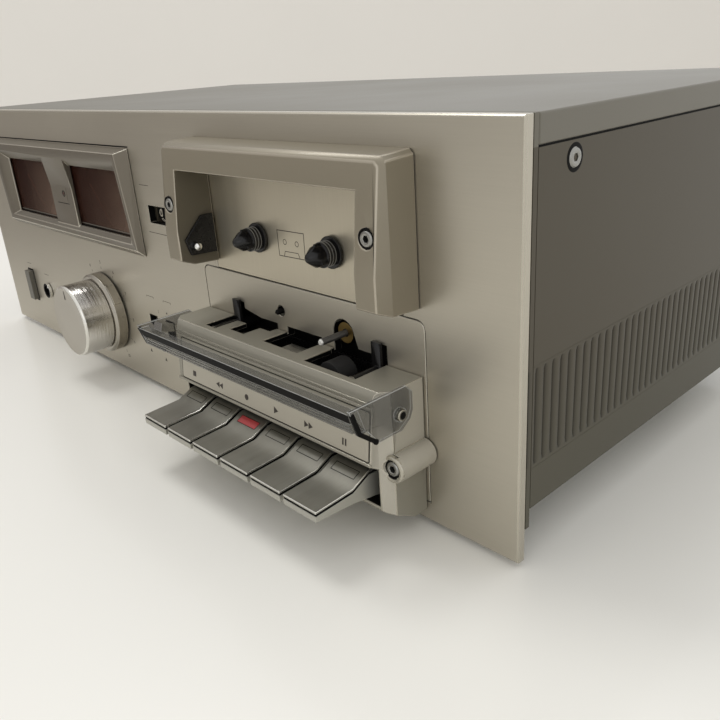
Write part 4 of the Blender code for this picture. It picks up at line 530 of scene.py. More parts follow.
class Shape:
    """Points in deck millimetres and the faces between them, gathered for one piece."""

    def __init__(self):
        self.points, self.faces, self.tints, self.total = [], [], [], 0

    def add(self, points, faces, tint=0):
        """Adds points and the faces between them, in one of the piece's finishes."""
        points = np.asarray(points, float).reshape(-1, 3)
        added = [(np.asarray(group) + self.total).tolist() for group in faces]
        joined = [face for group in added for face in group]
        self.points.append(points)
        self.faces += joined
        self.tints += [tint] * len(joined)
        self.total += len(points)
        return self

    def slab(self, outline, plane, layer, tint=0):
        """A flat outline with a thickness: the outline at its layer's low and high sides, a wall of quads
        between them, and one face over each."""
        count = len(outline)
        points = np.concatenate([plane.points(outline, height) for height in layer])
        ends = np.stack((np.arange(count)[::-1], np.arange(count) + count))
        return self.add(points, (skin(2, count), ends), tint)

    def line(self, path, width, plane, layer, closed=False, tint=0):
        """A small rectangle carried along a flat path: at each point the two sides stand half the width off,
        along the mitre of the two stretches that meet there."""
        path = np.asarray(path, float)
        ahead = np.roll(path, -1, 0) - path
        if not closed:
            ahead[-1] = ahead[-2]
        ahead /= np.linalg.norm(ahead, axis=1, keepdims=True)
        behind = np.roll(ahead, 1, 0)
        if not closed:
            behind[0] = ahead[0]
        turn = np.array(((0, 1), (-1, 0)))
        mitre = (ahead + behind) @ turn
        mitre /= (1 + (ahead * behind).sum(1))[:, None]
        left, right = path - mitre * width / 2, path + mitre * width / 2
        low, high = layer
        points = np.concatenate([plane.points(edge, height) for edge, height in (
            (left, low), (left, high), (right, high), (right, low))])
        count = len(path)
        faces = [skin(4, count, close_rows=True, close_columns=closed)]
        if not closed:
            faces.append([np.arange(4)[::-1] * count, np.arange(4) * count + count - 1])
        return self.add(points, faces, tint)

    def turned(self, profile, plane, steps=48, tint=0, sides=0):
        """A profile of (radius, height) turned about the plane's way out. Where sides are given, a third
        number in each row, 0 to 1, draws the circle in to a polygon: its radius is divided by the cosine of
        the angle from the middle of a side."""
        profile = np.asarray(profile, float)
        angle = np.arange(steps) * 2 * math.pi / steps
        reach = np.ones((len(profile), steps)) * profile[:, :1]
        if sides:
            half = math.pi / sides
            flat = math.cos(half) / np.cos(angle % (2 * half) - half)
            reach = reach * (1 - profile[:, 2:3] + profile[:, 2:3] * flat)
        flat = np.stack((reach * np.cos(angle), reach * np.sin(angle)), -1).reshape(-1, 2)
        points = plane.points(flat, np.repeat(profile[:, 1], steps))
        return self.add(points, [skin(len(profile), steps)], tint)

    def number(self, text, size, plane, layer, tint=0, wheel=0.0):
        """A number from the font that Blender carries, cut to a thickness; on a wheel, its height runs round
        a circle of that radius behind the plane."""
        curve = bpy.data.curves.new("number", "FONT")
        curve.body, curve.size, curve.extrude, curve.resolution_u = text, size * FONT_SIZE, 0.5, 3
        curve.align_x = curve.align_y = "CENTER"
        holder = bpy.data.objects.new("number", curve)
        bpy.context.scene.collection.objects.link(holder)
        mesh = bpy.data.meshes.new_from_object(holder.evaluated_get(bpy.context.evaluated_depsgraph_get()))
        bpy.data.objects.remove(holder)
        bpy.data.curves.remove(curve)
        cut = bmesh.new()
        cut.from_mesh(mesh)
        for height in np.linspace(-0.5, 0.5, WHEEL_CUTS) * size if wheel else ():
            everything = cut.verts[:] + cut.edges[:] + cut.faces[:]
            bmesh.ops.bisect_plane(cut, geom=everything, plane_co=(0, height, 0), plane_no=(0, 1, 0))
        cut.to_mesh(mesh)
        cut.free()
        spots = np.empty(len(mesh.vertices) * 3)
        mesh.vertices.foreach_get("co", spots)
        spots = spots.reshape(-1, 3)
        height = np.interp(spots[:, 2], (-0.5, 0.5), layer)
        flat = spots[:, :2]
        if wheel:
            angle, reach = flat[:, 1] / wheel, wheel + height
            flat = np.stack((flat[:, 0], reach * np.sin(angle)), -1)
            height = reach * np.cos(angle) - wheel
        faces = [[list(face.vertices)] for face in mesh.polygons]
        bpy.data.meshes.remove(mesh)
        return self.add(plane.points(flat, height), faces, tint)

    def piece(self, name, body, slot, finishes, width=0.0, replaces=()):
        """Makes the piece's mesh, merges its seams and poles, turns its faces outwards and settles it."""
        mesh = bpy.data.meshes.new(name)
        mesh.from_pydata(in_metres(np.concatenate(self.points)).tolist(), [], self.faces)
        mesh.polygons.foreach_set("material_index", self.tints)
        joined = bmesh.new()
        joined.from_mesh(mesh)
        bmesh.ops.remove_doubles(joined, verts=joined.verts, dist=SEAM_GAP)
        bmesh.ops.recalc_face_normals(joined, faces=joined.faces)
        joined.to_mesh(mesh)
        joined.free()
        return settle(mesh, name, body, finishes, width, 2, replaces)


def settle(mesh, name, body, finishes, width, segments, replaces):
    """Gives a mesh its finishes, smooth shading and softened edges of a width, and rides it on its body."""
    for finish in finishes:
        mesh.materials.append(FINISHES[finish])
    mesh.polygons.foreach_set("use_smooth", np.ones(len(mesh.polygons), bool))
    mesh.set_sharp_from_angle(angle=SHARP_ANGLE)
    piece = bpy.data.objects.new(name, mesh)
    bpy.context.scene.collection.objects.link(piece)
    if width:
        edge = piece.modifiers.new("soft_edges", "BEVEL")
        edge.width, edge.segments = width, segments
        edge.limit_method, edge.angle_limit = "ANGLE", BEVEL_ANGLE
        edge.use_clamp_overlap = False
        edge.harden_normals = True
        if "edge" in finishes[-1]:
            edge.material = len(finishes) - 1
    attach(piece, body)
    if replaces:
        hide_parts(*replaces)
    return piece


def dressed(node, finishes, width, zones=(), segments=2):
    """A copy of a CAD node with its loose corners joined, its flat faces made whole, its narrow rims split
    where they turn in, its edges softened and its zones in finishes of their own. A zone is a finish's number
    and a test of where faces are and look."""
    mesh = frame["nodes"][node].data.copy()
    mesh.materials.clear()
    joined = bmesh.new()
    joined.from_mesh(mesh)
    bmesh.ops.remove_doubles(joined, verts=joined.verts, dist=CORNER_GAP)
    bmesh.ops.dissolve_limit(joined, angle_limit=FLAT_ANGLE, verts=joined.verts, edges=joined.edges)
    rims = [face for face in joined.faces if len(face.verts) <= RIM_CORNERS]
    bmesh.ops.connect_verts_concave(joined, faces=rims)
    joined.to_mesh(mesh)
    joined.free()
    spots, ways = np.empty(len(mesh.polygons) * 3), np.empty(len(mesh.polygons) * 3)
    mesh.polygons.foreach_get("center", spots)
    mesh.polygons.foreach_get("normal", ways)
    spots, ways = in_deck(spots.reshape(-1, 3)).T, ways.reshape(-1, 3).T
    tints = np.zeros(len(mesh.polygons), int)
    for tint, test in zones:
        tints[test(spots, ways)] = tint
    mesh.polygons.foreach_set("material_index", tints)
    return settle(mesh, node + "_dressed", BODY[node], finishes, width, segments, (node,))


def clad(finish, *nodes):
    """Gives CAD nodes that keep their shape a finish."""
    for node in nodes:
        for held in frame["nodes"][node].material_slots:
            held.material = FINISHES[finish]


# Zones. Each test takes the middles of faces, in deck millimetres, and the ways they look.

RIM = 1.0
UPRIGHT, SIDEWAYS, FACING, SQUARE = 0.5, 0.6, 0.9, 0.95
HOOD_LIP, HOOD_CHEEK, HOOD_ROOF = -16, 70, 115
CUTOUTS = (65, -16, 36), (156, 3.4, 80)
KEYWAY = (49.5, -18.9, 15), (168.4, 9, 30.2)
BLOCK_SIDE, BOSS_TOP, BOSS_REACH = 165, 33, 5.6
PIN_REACH, PIN_START = 2.2, 63.5


def inside(spot, low, high):
    """Whether faces lie between two corners."""
    return np.all([(spot[axis] > low[axis]) & (spot[axis] < high[axis]) for axis in range(3)], axis=0)


def near_axis(centre, reach, front=math.inf):
    """The test of a zone round a line through a centre into the deck, as far back as a depth."""
    def test(spot, way):
        return (np.hypot(spot[0] - centre[0], spot[2] - centre[2]) < reach) & (spot[1] < front)
    return test


def is_opening_wall(spot, way):
    """Walls of the openings cut through the faceplate, which lie clear of its outline; they are painted black
    as painted shade.
    """
    low, high = corners("faceplate")
    return inside(spot, low + (RIM, -RIM, RIM), high + (-RIM, RIM, -RIM)) & (np.abs(way[1]) < UPRIGHT)


def is_hood_lining(spot, way):
    """The hood's inner wall beside the guide, and its underside over the bay, which are painted darker as
    painted shade.
    """
    across, into, up = spot
    cheek = (way[0] > UPRIGHT) & (across < HOOD_CHEEK)
    roof = (way[2] < -UPRIGHT) & (up > HOOD_ROOF)
    return (into > HOOD_LIP) & (cheek | roof)


def is_insert(spot, way):
    """The front of the insert plate that the head housing stands on."""
    return (spot[1] > -RIM) & (way[1] < -FACING)


def is_cut_wall(spot, way):
    """Upright walls of the cut-outs in the shelf and the insert plate, and the inside of the keyway; they are
    painted black as painted shade.
    """
    upright = (np.abs(way[2]) < UPRIGHT) & (np.abs(way[1]) < SQUARE)
    return (inside(spot, *CUTOUTS) & upright) | inside(spot, *KEYWAY)


def is_block_side(spot, way):
    """The head housing's right side above its screw boss, and the boss itself, which are painted lighter as
    painted light.
    """
    across, _, up = spot
    side = (across > BLOCK_SIDE) & (way[0] > SIDEWAYS) & (up > BOSS_TOP)
    return side | (np.hypot(across - BOSS[0], up - BOSS[2]) < BOSS_REACH)


def is_visor_pin(spot, way):
    """The two pins that the visor turns on, which stand out from the housing's sides."""
    beyond = np.abs(spot[0] - VISOR_MIDDLE) > PIN_START
    return beyond & (np.hypot(spot[1] - VISOR_PIN[1], spot[2] - VISOR_PIN[2]) < PIN_REACH)


# Cabinet

PANEL_NEAR, PANEL_FAR, RIB_CLEAR = 1.0, 0.2, 0.5
RIB_PHASE = np.array((0, 0.05, 0.11, 0.2, 0.35, 0.5, 0.65, 0.8, 0.89, 0.95))
FADE_STEPS, FADE_SHARES = np.array((-0.3, 0, 0.5, 1.8)), (0, 0, 0.35, 1)
BORDERS = (RIB_LOW - 1.1, RIB_HIGH + 0.5)
BORDER_WIDTH, BORDER_INSET, BORDER_LAYER = 0.35, 0.4, (-0.1, 0.06)


def make_cabinet(sizes):
    """Faceplate with its print, cover, sides, back and feet."""
    # The walls of the faceplate's openings are painted black as painted shade.
    dressed("faceplate", ("champagne", "black_gap", "bright_edge"), PLATE_EDGE, zones=((1, is_opening_wall),))
    dressed("top_cover", ("cover_paint",), COVER_EDGE, segments=3)
    dressed("rear_panel", ("rear_paint",), sizes.edge)
    for place in ("front_left", "front_right", "rear_left", "rear_right"):
        dressed(f"foot_{place}", ("rubber",), FOOT_EDGE, segments=3)
    clad("zinc", "chassis")
    clad("side_paint", "front_frame")
    make_seams()
    make_side_panel("side_panel_left", LEFT, sizes)
    make_side_panel("side_panel_right", RIGHT, sizes)
    make_side_screws()
    make_rear_fittings(sizes)
    make_faceplate_print(sizes)


def make_seams():
    """Dark lines between the cover and the side panels, set in from the panels' outer faces."""
    low, high = corners("side_panel_right")
    shape = Shape()
    for plane in (RIGHT, LEFT):
        near, far = sorted((plane.across[1] * (low[1] + SEAM_NEAR), plane.across[1] * (high[1] - SEAM_FAR)))
        outline = oblong(near, SEAM - SEAM_HALF, far, SEAM + SEAM_HALF)
        shape.slab(outline, plane.at(plane.out[0] * high[0], 0, 0), SEAM_LAYER)
    shape.piece("cover_seams", "cabinet", SLOT["chassis"], ("black_gap",))


def make_side_panel(node, plane, sizes):
    """Ribbed side panel. Its outer face stands in from its plane by the groove depth, times the share of a
    groove at that depth into the deck, times a ramp that runs out at the band's top and bottom; a groove's
    share is one less a low power of the sine of the distance along the ribs."""
    low, high = corners(node)
    (_, near, base), (_, far, top) = low, high
    outside, thick = max(abs(low[0]), abs(high[0])), high[0] - low[0]
    pitch, depth = sizes.rib_pitch / MM, sizes.rib_depth / MM
    ribs = int((far - RIB_START - RIB_CLEAR) / pitch)
    along = (np.arange(ribs)[:, None] + RIB_PHASE).reshape(-1) * pitch + RIB_START
    last = RIB_START + ribs * pitch
    along = np.concatenate(((near, near + PANEL_NEAR), along, (last, far - PANEL_FAR, far)))
    up = np.concatenate(((base,), RIB_LOW + FADE_STEPS, (RIB_HIGH - FADE_STEPS)[::-1], (top,)))
    ramp = np.array((0, *FADE_SHARES, *FADE_SHARES[::-1], 0))
    share = 1 - np.abs(np.sin(np.pi * (along - RIB_START) / pitch)) ** 0.4
    share[[0, 1, -2, -1]] = 0
    sign = plane.across[1]
    height = -depth * ramp[:, None] * share
    flat = np.stack(np.broadcast_arrays(sign * along, up[:, None]), -1)
    face = plane.at(plane.out[0] * outside, 0, 0)
    front = face.points(flat.reshape(-1, 2), height.reshape(-1))
    back = face.points(flat[::-1].reshape(-1, 2), -thick)
    columns, rows = len(along), 2 * len(up)
    ends = [np.arange(rows) * columns, np.arange(rows)[::-1] * columns + columns - 1]
    shape = Shape().add(np.concatenate((front, back)),
                        (skin(rows, columns, close_rows=True, close_columns=False), ends))
    for height in BORDERS:
        border = ((sign * (near + BORDER_INSET), height), (sign * (far - BORDER_INSET), height))
        shape.line(border, BORDER_WIDTH, face, BORDER_LAYER)
    shape.piece(node + "_ribbed", BODY[node], SLOT[node], ("side_paint",), replaces=(node,))


def screw_head(shape, plane, radius, seat, socket, proud):
    """A round screw head: a seat, a crowned rim and a hexagonal socket, as one turned profile."""
    shape.turned(((0, seat, 0), (radius, seat, 0), (radius, proud - 0.5, 0), (radius - 0.35, proud - 0.1, 0),
                  (radius - 0.8, proud, 0), (socket + 0.25, proud, 0), (socket, proud - 0.2, 1),
                  (socket, proud - 1.3, 1), (socket - 0.05, proud - 1.35, 1)), plane, sides=6)
    shape.slab(ring(socket, steps=6), plane, (proud - 1.6, proud - 1.3), tint=1)
    return shape


# Dark ring round a side screw: painted shade.
SIDE_SCREW_RING = ((2.8, -0.6), (4.0, -0.6), (4.1, 0.02), (3.9, 0.1), (3.0, 0.06), (2.8, 0.06), (2.8, -0.6))


def make_side_screws():
    """The two screws on the right side, each with a dark ring round it on the panel's outer face, painted
    shade of the recess round its head.
    """
    outside = corners("side_panel_right")[1][0]
    for node in ("side_screw_front", "side_screw_rear"):
        _, into, up = sum(corners(node)) / 2
        plane = RIGHT.at(outside, into, up)
        shape = screw_head(Shape(), plane, radius=2.9, seat=-0.6, socket=1.25, proud=0.55)
        shape.turned(SIDE_SCREW_RING, plane, tint=1)
        shape.piece(node + "_head", "cabinet", SLOT[node], ("steel", "black_gap"), replaces=(node,))


SOCKETS, SOCKET_PITCH = 4, 18.0
SOCKET_RING = ((1.7, -3), (1.7, 0.2), (2.9, 0.2), (3.1, -0.3), (3.5, -0.3), (3.7, 0.6), (4.2, 0.6),
               (4.4, 0.3), (4.4, -1.5), (1.7, -3))
SOCKET_LINER = ((1.8, -2), (1.8, 0.3), (2.8, 0.3), (2.8, -2), (1.8, -2))
REAR_SCREWS_ACROSS, REAR_SCREWS_UP = (-190, -70, 50, 190), (26, 129)


def make_rear_fittings(sizes):
    """Phono sockets, by turns red and white inside, and the rear panel's screws."""
    dressed("socket_strip", ("black_moulding",), sizes.edge)
    low, high = corners("socket_strip")
    across, _, up = (low + high) / 2
    shape = Shape()
    for index in range(SOCKETS):
        plane = BACK.at(across + (index - (SOCKETS - 1) / 2) * SOCKET_PITCH, high[1], up)
        shape.turned(SOCKET_RING, plane)
        shape.turned(SOCKET_LINER, plane, tint=1 + index % 2)
    shape.piece("socket_rings", "cabinet", "steel", ("steel", "socket_red", "socket_white"))
    back = corners("rear_panel")[1][1]
    screws = Shape()
    for across in REAR_SCREWS_ACROSS:
        for up in REAR_SCREWS_UP:
            screw_head(screws, BACK.at(across, back, up), radius=2.7, seat=-0.4, socket=1.0, proud=0.9)
    screws.piece("rear_screws", "cabinet", "steel", ("steel", "black_gap"))


# Print on the faceplate

PRINT = (-0.15, 0.03)
FINE_LINE = 0.8
LINES = (((1.2, 85.9), (28.6, 85.9)), ((-1.0, 107.6), (7.2, 107.6)), ((-173.4, 45.4), (-167.0, 45.4)),
         ((-147.9, 41.6), (-141.3, 41.6)))
SWITCH_LINE, SWITCH_DOT, DOT_RADIUS = ((-4.2, 44.2), (-4.2, 46.0)), (4.1, 45.7), 0.55
ARROW, ARROWS = np.array(((-1.1, -0.9), (1.1, -0.9), (0, 1.0))), ((-19.1, 21.1), (-4.7, 19.3))
BRACKET_REACH, BRACKET_LOW, BRACKET_TOP = 3.4, 51.2, 52.0
DIAL_START, DIAL_SWEEP = math.radians(240), math.radians(300)
DIAL_TICK_START, DIAL_TICK_END, DIAL_NUMBERS = 23.6, 25.0, 27.4


def direction(angle):
    """The flat direction at an angle, one long."""
    return np.array((math.cos(angle), math.sin(angle)))


def make_faceplate_print(sizes):
    """Lines, ticks and dial numbers printed on the faceplate. Ticks and numbers stand along directions from
    the knob's middle, in equal steps of angle."""
    width = sizes.line / MM
    shape = Shape()
    for ends in LINES:
        shape.line(ends, width, FRONT, PRINT)
    shape.line(SWITCH_LINE, width * FINE_LINE, FRONT, PRINT)
    shape.slab(ring(DOT_RADIUS, SWITCH_DOT, 20), FRONT, PRINT)
    for place in ARROWS:
        shape.slab(ARROW + place, FRONT, PRINT)
    for side in ("left", "right"):
        left, right = PIVOT[f"{side}_lever_tilt"][0] + np.array((-BRACKET_REACH, BRACKET_REACH))
        bracket = ((left, BRACKET_LOW), (left, BRACKET_TOP), (right, BRACKET_TOP), (right, BRACKET_LOW))
        shape.line(bracket, width * FINE_LINE, FRONT, PRINT)
    centre = PIVOT["level_turn"][[0, 2]]
    for step in range(sizes.dial_steps + 1):
        way = direction(DIAL_START - step * DIAL_SWEEP / sizes.dial_steps)
        shape.line((centre + way * DIAL_TICK_START, centre + way * DIAL_TICK_END), width, FRONT, PRINT)
        across, up = centre + way * DIAL_NUMBERS
        shape.number(str(step), sizes.dial_digit / MM, FRONT.at(across, 0, up), PRINT)
    shape.piece("faceplate_print", "cabinet", SLOT["faceplate"], ("ink",))


# Level meters

BEZEL_SHADOW, BEZEL_SHADOW_LAYER = 0.6, (-0.15, 0.1)
WINDOW_HALF, WINDOW_LINE_LAYER = 28.6, (-0.1, 0.2)
# Two lines along the window: a dark one, and above it a lighter one that is a painted highlight on the edge
# of the glass.
WINDOW_EDGE_LINES = ((81.4, 0.6, 0), (82.3, 0.4, 1))
LAMP_PLATE_PLACE, LAMP_SHIFT = (-2.1, 97.2), 2.75
LAMP_PLATE, LAMP_PLATE_LAYER = oblong(-6.2, -4.3, 6.2, 4.6, 0.4), (-0.3, 0.14)
LAMP_LINE, LAMP_LINE_LAYER = oblong(-7.4, -5.6, 7.4, -5.2), (-0.3, 0.06)
LAMP_RING = ((1.7, -0.3), (1.7, 0.25), (1.3, 0.25), (1.2, 0.0), (0, 0.0), (0, -0.3))
LAMP_LENS = ((0, 0.55), (0.6, 0.45), (1.0, 0.1), (1.0, -0.2), (0, -0.2))


def make_meters(sizes):
    """Bezel, window, scales, lamp plate and needles of the level meters."""
    dressed("meter_bezel", ("bezel_paint", "bezel_edge"), sizes.edge)
    dressed("meter_window", ("window_glass",), THIN_EDGE)
    clad("black_gap", "meter_unit")
    for side in ("left", "right"):
        dressed(f"needle_{side}", ("needle_paint",), HAIR_EDGE)
    low, high = corners("meter_bezel")
    over = high[2] + BEZEL_SHADOW
    shadow = Shape().line(((low[0], over), (high[0], over)), BEZEL_SHADOW, FRONT, BEZEL_SHADOW_LAYER)
    shadow.piece("bezel_shadow_line", "cabinet", SLOT["meter_bezel"], ("black_gap",))
    glass = FRONT.at(0, corners("meter_window")[0][1], 0)
    rims = Shape()
    for side in ("left", "right"):
        middle = PIVOT[f"{side}_meter"][0]
        make_scale(side)
        for up, width, tint in WINDOW_EDGE_LINES:
            ends = ((middle - WINDOW_HALF, up), (middle + WINDOW_HALF, up))
            rims.line(ends, width, glass, WINDOW_LINE_LAYER, tint=tint)
    rims.piece("window_rims", "cabinet", SLOT["meter_window"], ("black_gap", "grey_moulding"))
    middle = (PIVOT["left_meter"][0] + PIVOT["right_meter"][0]) / 2
    pillar, lamp = FRONT.at(middle, *LAMP_PLATE_PLACE), FRONT.at(middle + LAMP_SHIFT, *LAMP_PLATE_PLACE)
    shape = Shape().slab(LAMP_PLATE, pillar, LAMP_PLATE_LAYER)
    shape.slab(LAMP_LINE, pillar, LAMP_LINE_LAYER, tint=1)
    shape.turned(LAMP_RING, lamp, tint=1)
    shape.turned(LAMP_LENS, lamp, tint=2)
    shape.piece("meter_lamp_plate", "cabinet", SLOT["meter_bezel"],
                ("bezel_paint", "black_gap", "scale_paper"), HAIR_EDGE)


SCALE_DEPTH, SCALE_CARD, CARD, SCALE_PRINT = 7.8, oblong(-27.5, 0.5, 27.5, 35.2), (-0.1, 0.12), (0, 0.2)
SCALE_START, SCALE_SWEEP, SCALE_STEPS, SCALE_WIDTH = math.radians(130), math.radians(-80), 10, 0.3
SCALE_RADIUS, SHORT_TICK, LONG_TICK, SCALE_NUMBERS, SCALE_DIGIT = 26.5, 27.8, 29.0, 31.2, 2.1
THICK_RADIUS, THICK_START, THICK_SWEEP, THICK_WIDTH = 27.2, math.radians(74), math.radians(-24), 1.2


def make_scale(side):
    """One meter's scale: a printed arc about the needle's pivot, with ticks, numbers and a thick end."""
    across, _, up = PIVOT[f"{side}_meter"]
    plane = FRONT.at(across, SCALE_DEPTH, up)
    shape = Shape().slab(SCALE_CARD, plane, CARD)
    shape.line(arc(SCALE_RADIUS, SCALE_START, SCALE_SWEEP, 33), SCALE_WIDTH, plane, SCALE_PRINT, tint=1)
    shape.line(arc(THICK_RADIUS, THICK_START, THICK_SWEEP, 12), THICK_WIDTH, plane, SCALE_PRINT, tint=1)
    for step in range(SCALE_STEPS + 1):
        way = direction(SCALE_START + SCALE_SWEEP * step / SCALE_STEPS)
        numbered = step % 2 == 0
        tick = (way * SCALE_RADIUS, way * (LONG_TICK if numbered else SHORT_TICK))
        shape.line(tick, SCALE_WIDTH, plane, SCALE_PRINT, tint=1)
        if numbered:
            right, rise = way * SCALE_NUMBERS
            spot = plane.at(across + right, SCALE_DEPTH, up + rise)
            shape.number(str(step), SCALE_DIGIT, spot, SCALE_PRINT, tint=1)
    shape.piece(f"meter_scale_{side}", "cabinet", "paper", ("scale_paper", "scale_print"))


# Level controls

KNOB = FRONT.at(*PIVOT["level_turn"])
KNOB_SIDE = ((0, 7.2), (18.9, 7.2), (19.25, 7.6), (19.3, 21.6), (19.25, 21.9))
KNOB_RIM = ((19.25, 21.9), (18.9, 22.6), (18.3, 23.0))
KNOB_FACE = ((18.3, 23.0), (17.6, 22.85), (10, 22.7), (0, 22.65))
KNOB_MARK, KNOB_MARK_LAYER = oblong(-0.35, 12.2, 0.35, 17.0, 0.15), (22.4, 22.88)
RING_GAP = ((18.6, 5.6), (21.0, 5.6), (21.0, 6.3), (18.6, 6.3), (18.6, 5.6))
KNOB_STEPS = 96
JACK_BORE = 3.4
POWER_SLOT, POWER_SLOT_WIDTH, POWER_SLOT_LAYER = oblong(-174.4, 21.0, -166.2, 41.4, 0.5), 0.9, (-0.15, 0.05)


def make_level_controls(sizes):
    """Level knob with its ring, the two lever switches, the power button and the phone jack."""
    shape = Shape()
    for tint, profile in ((1, KNOB_SIDE), (2, KNOB_RIM), (0, KNOB_FACE)):
        shape.turned(profile, KNOB, KNOB_STEPS, tint)
    shape.piece("level_knob_turned", "level_knob", SLOT["level_knob"],
                ("knob_front", "knob_side", "key_edge"), replaces=("level_knob",))
    mark = Shape().slab(KNOB_MARK, KNOB, KNOB_MARK_LAYER)
    mark.piece("level_knob_mark", "level_knob", SLOT["level_knob"], ("ink",))
    dressed("level_ring", ("ring_side", "bezel_edge"), sizes.fine_edge)
    gap = Shape().turned(RING_GAP, KNOB, KNOB_STEPS)
    gap.piece("level_ring_gap", "level_ring", SLOT["level_ring"], ("black_gap",))
    clad("steel", "level_pot")
    dressed("power_button", ("grey_moulding",), sizes.edge)
    bore = near_axis(sum(corners("headphone_jack")) / 2, JACK_BORE)
    dressed("headphone_jack", ("chrome", "black_gap"), SMALL_EDGE, zones=((1, bore),))
    for side in ("left", "right"):
        dressed(f"lever_switch_{side}", ("chrome",), LEVER_EDGE)
    slot = Shape().line(POWER_SLOT, POWER_SLOT_WIDTH, FRONT, POWER_SLOT_LAYER, closed=True)
    slot.piece("power_slot_rim", "cabinet", SLOT["faceplate"], ("black_gap",))


# Tape counter

WHEEL_RADIUS, WHEEL_DIGITS, WHEEL_PRINT = 7.0, 10, (-0.1, 0.06)
COUNTER_WINDOW, COUNTER_RIM, COUNTER_RIM_LAYER = oblong(3.2, 90.0, 26.6, 99.0, 0.3), 0.5, (-0.15, 0.04)


def make_counter(sizes):
    """Tape counter: its black frame, numbered wheels and reset button. A digit's plane touches its wheel
    where the wheel has turned by the digit's share of a full turn."""
    clad("black_gap", "counter_frame")
    for wheel in ("hundreds", "tens", "units"):
        node = f"counter_wheel_{wheel}"
        dressed(node, ("black_gap",), sizes.fine_edge)
        shape = Shape()
        for digit in range(WHEEL_DIGITS):
            cosine, sine = direction(2 * math.pi * digit / WHEEL_DIGITS)
            out = np.array((0, -cosine, sine))
            plane = Plane(PIVOT[f"{wheel}_spin"] + WHEEL_RADIUS * out, (1, 0, 0), (0, sine, cosine), out)
            shape.number(str(digit), sizes.wheel_digit / MM, plane, WHEEL_PRINT, wheel=WHEEL_RADIUS)
        shape.piece(f"{node}_numbers", BODY[node], SLOT[node], ("ivory",))
    rim = Shape().line(COUNTER_WINDOW, COUNTER_RIM, FRONT, COUNTER_RIM_LAYER, closed=True)
    rim.piece("counter_window_rim", "cabinet", SLOT["faceplate"], ("bright_edge",))
    dressed("counter_reset", ("black_moulding",), sizes.edge, segments=3)


# Cassette bay

HOOD_SCREW_FACE = -17.2
HOOD_SCREW_RING = ((2.55, -1.6), (3.3, -1.6), (3.3, -0.25), (2.9, -0.2), (2.55, -0.6), (2.55, -1.6))
BALL, BALL_RADIUS, BALL_SWEEP = RIGHT.at(62.6, -11.5, 89.4), 1.75, 0.86 * math.pi
BALL_STEM = ((0.75, -1.6), (0.75, -2.6), (0, -2.6))
CASSETTE = ((100.9, 98.2), (116.4, 98.5), (116.2, 88.8), (101.0, 88.5))
CASSETTE_HEAD = ((103.9, 88.6), (104.7, 90.5), (112.3, 90.7), (113.2, 88.8))
CASSETTE_REELS, REEL_RADIUS = ((105.0, 94.1), (112.0, 94.1)), 0.95
CASSETTE_LINE, CASSETTE_FINE_LINE = 0.3, 0.26
COLLAR = ((3.5, 1.4), (4.4, 1.4), (4.4, 5.6), (3.5, 6.0), (3.5, 1.4))
COLLAR_RINGS = (2.4, 3.7, 5.0)
COLLAR_RING = np.array(((4.3, -0.15), (4.62, -0.1), (4.62, 0.1), (4.3, 0.15), (4.3, -0.15)))


def make_cassette_bay(sizes):
    """Hood, its screws and guide, the spindle plate with its printed cassette, and the spindles."""
    dressed("cassette_hood", ("hood_paint", "hood_painted_shade", "hood_edge"), HOOD_EDGE, segments=3,
            zones=((1, is_hood_lining),))
    dressed("spindle_plate", ("bright_champagne", "bright_edge"), sizes.fine_edge)
    dressed("cassette_guide", ("black_moulding",), MOULDED_EDGE)
    for node in ("hood_screw_left", "hood_screw_right"):
        across, _, up = sum(corners(node)) / 2
        plane = FRONT.at(across, HOOD_SCREW_FACE, up)
        shape = screw_head(Shape(), plane, radius=2.6, seat=-6, socket=1.2, proud=0.0)
        shape.turned(HOOD_SCREW_RING, plane, tint=1)
        shape.piece(f"{node}_head", "cabinet", SLOT[node], ("steel", "black_gap"), replaces=(node,))
    make_guide_ball()
    make_cassette_mark()
    for name in ("supply", "takeup"):
        make_spindle(name)


def make_guide_ball():
    """The rivet on the guide: most of a circle, from its pole round, and a stem, turned."""
    pole = arc(BALL_RADIUS, math.pi / 2, -BALL_SWEEP, 14)
    ball = Shape().turned(np.concatenate((pole, BALL_STEM)), BALL, steps=32)
    ball.piece("cassette_guide_ball", "cabinet", "chrome", ("chrome",))


def make_cassette_mark():
    """A plain outline of a cassette with its two reels, printed on the spindle plate."""
    mark = Shape().line(CASSETTE, CASSETTE_LINE, FRONT, PRINT, closed=True)
    for place in CASSETTE_REELS:
        mark.line(ring(REEL_RADIUS, place, 20), CASSETTE_FINE_LINE, FRONT, PRINT, closed=True)
    mark.line(CASSETTE_HEAD, CASSETTE_FINE_LINE, FRONT, PRINT)
    mark.piece("cassette_pictogram", "cabinet", SLOT["spindle_plate"], ("ink",))


def make_spindle(name):
    """One reel spindle, and its collar with raised rings, which are lighter as painted highlights."""
    node = f"spindle_{name}"
    dressed(node, ("black_moulding",), MOULDED_EDGE)
    plane = FRONT.at(*PIVOT[f"{name}_spin"])
    collar = Shape()
    for height in COLLAR_RINGS:
        collar.turned(COLLAR_RING + (0, height), plane, tint=1)
    collar.turned(COLLAR, plane)
    collar.piece(f"{node}_collar", BODY[node], SLOT[node], ("black_moulding", "collar_ring_highlight"))


# Head housing

BOSS = sum(corners("boss_screw")) / 2
VISOR_PIN, VISOR_MIDDLE = PIVOT["visor_swing"], (sum(corners("visor")) / 2)[0]
HOUSING_FRONT = corners("head_housing")[0][1]
LEAN_FOOT, LEAN_RUN, LEAN_RISE = 32.2, 2.6, 23.2
KEYS = {name: PIVOT[f"{name}_press"][0] for name in ("stop", "rewind", "record", "play", "forward", "pause")}


def leaning(front, foot, run, rise):
    """A plane that looks forwards, from a foot at a depth, up a slope of a run into the deck and a rise."""
    into, up = np.array((run, rise)) / math.hypot(run, rise)
    return Plane((0, front, foot), (1, 0, 0), (0, into, up), (0, -up, into))


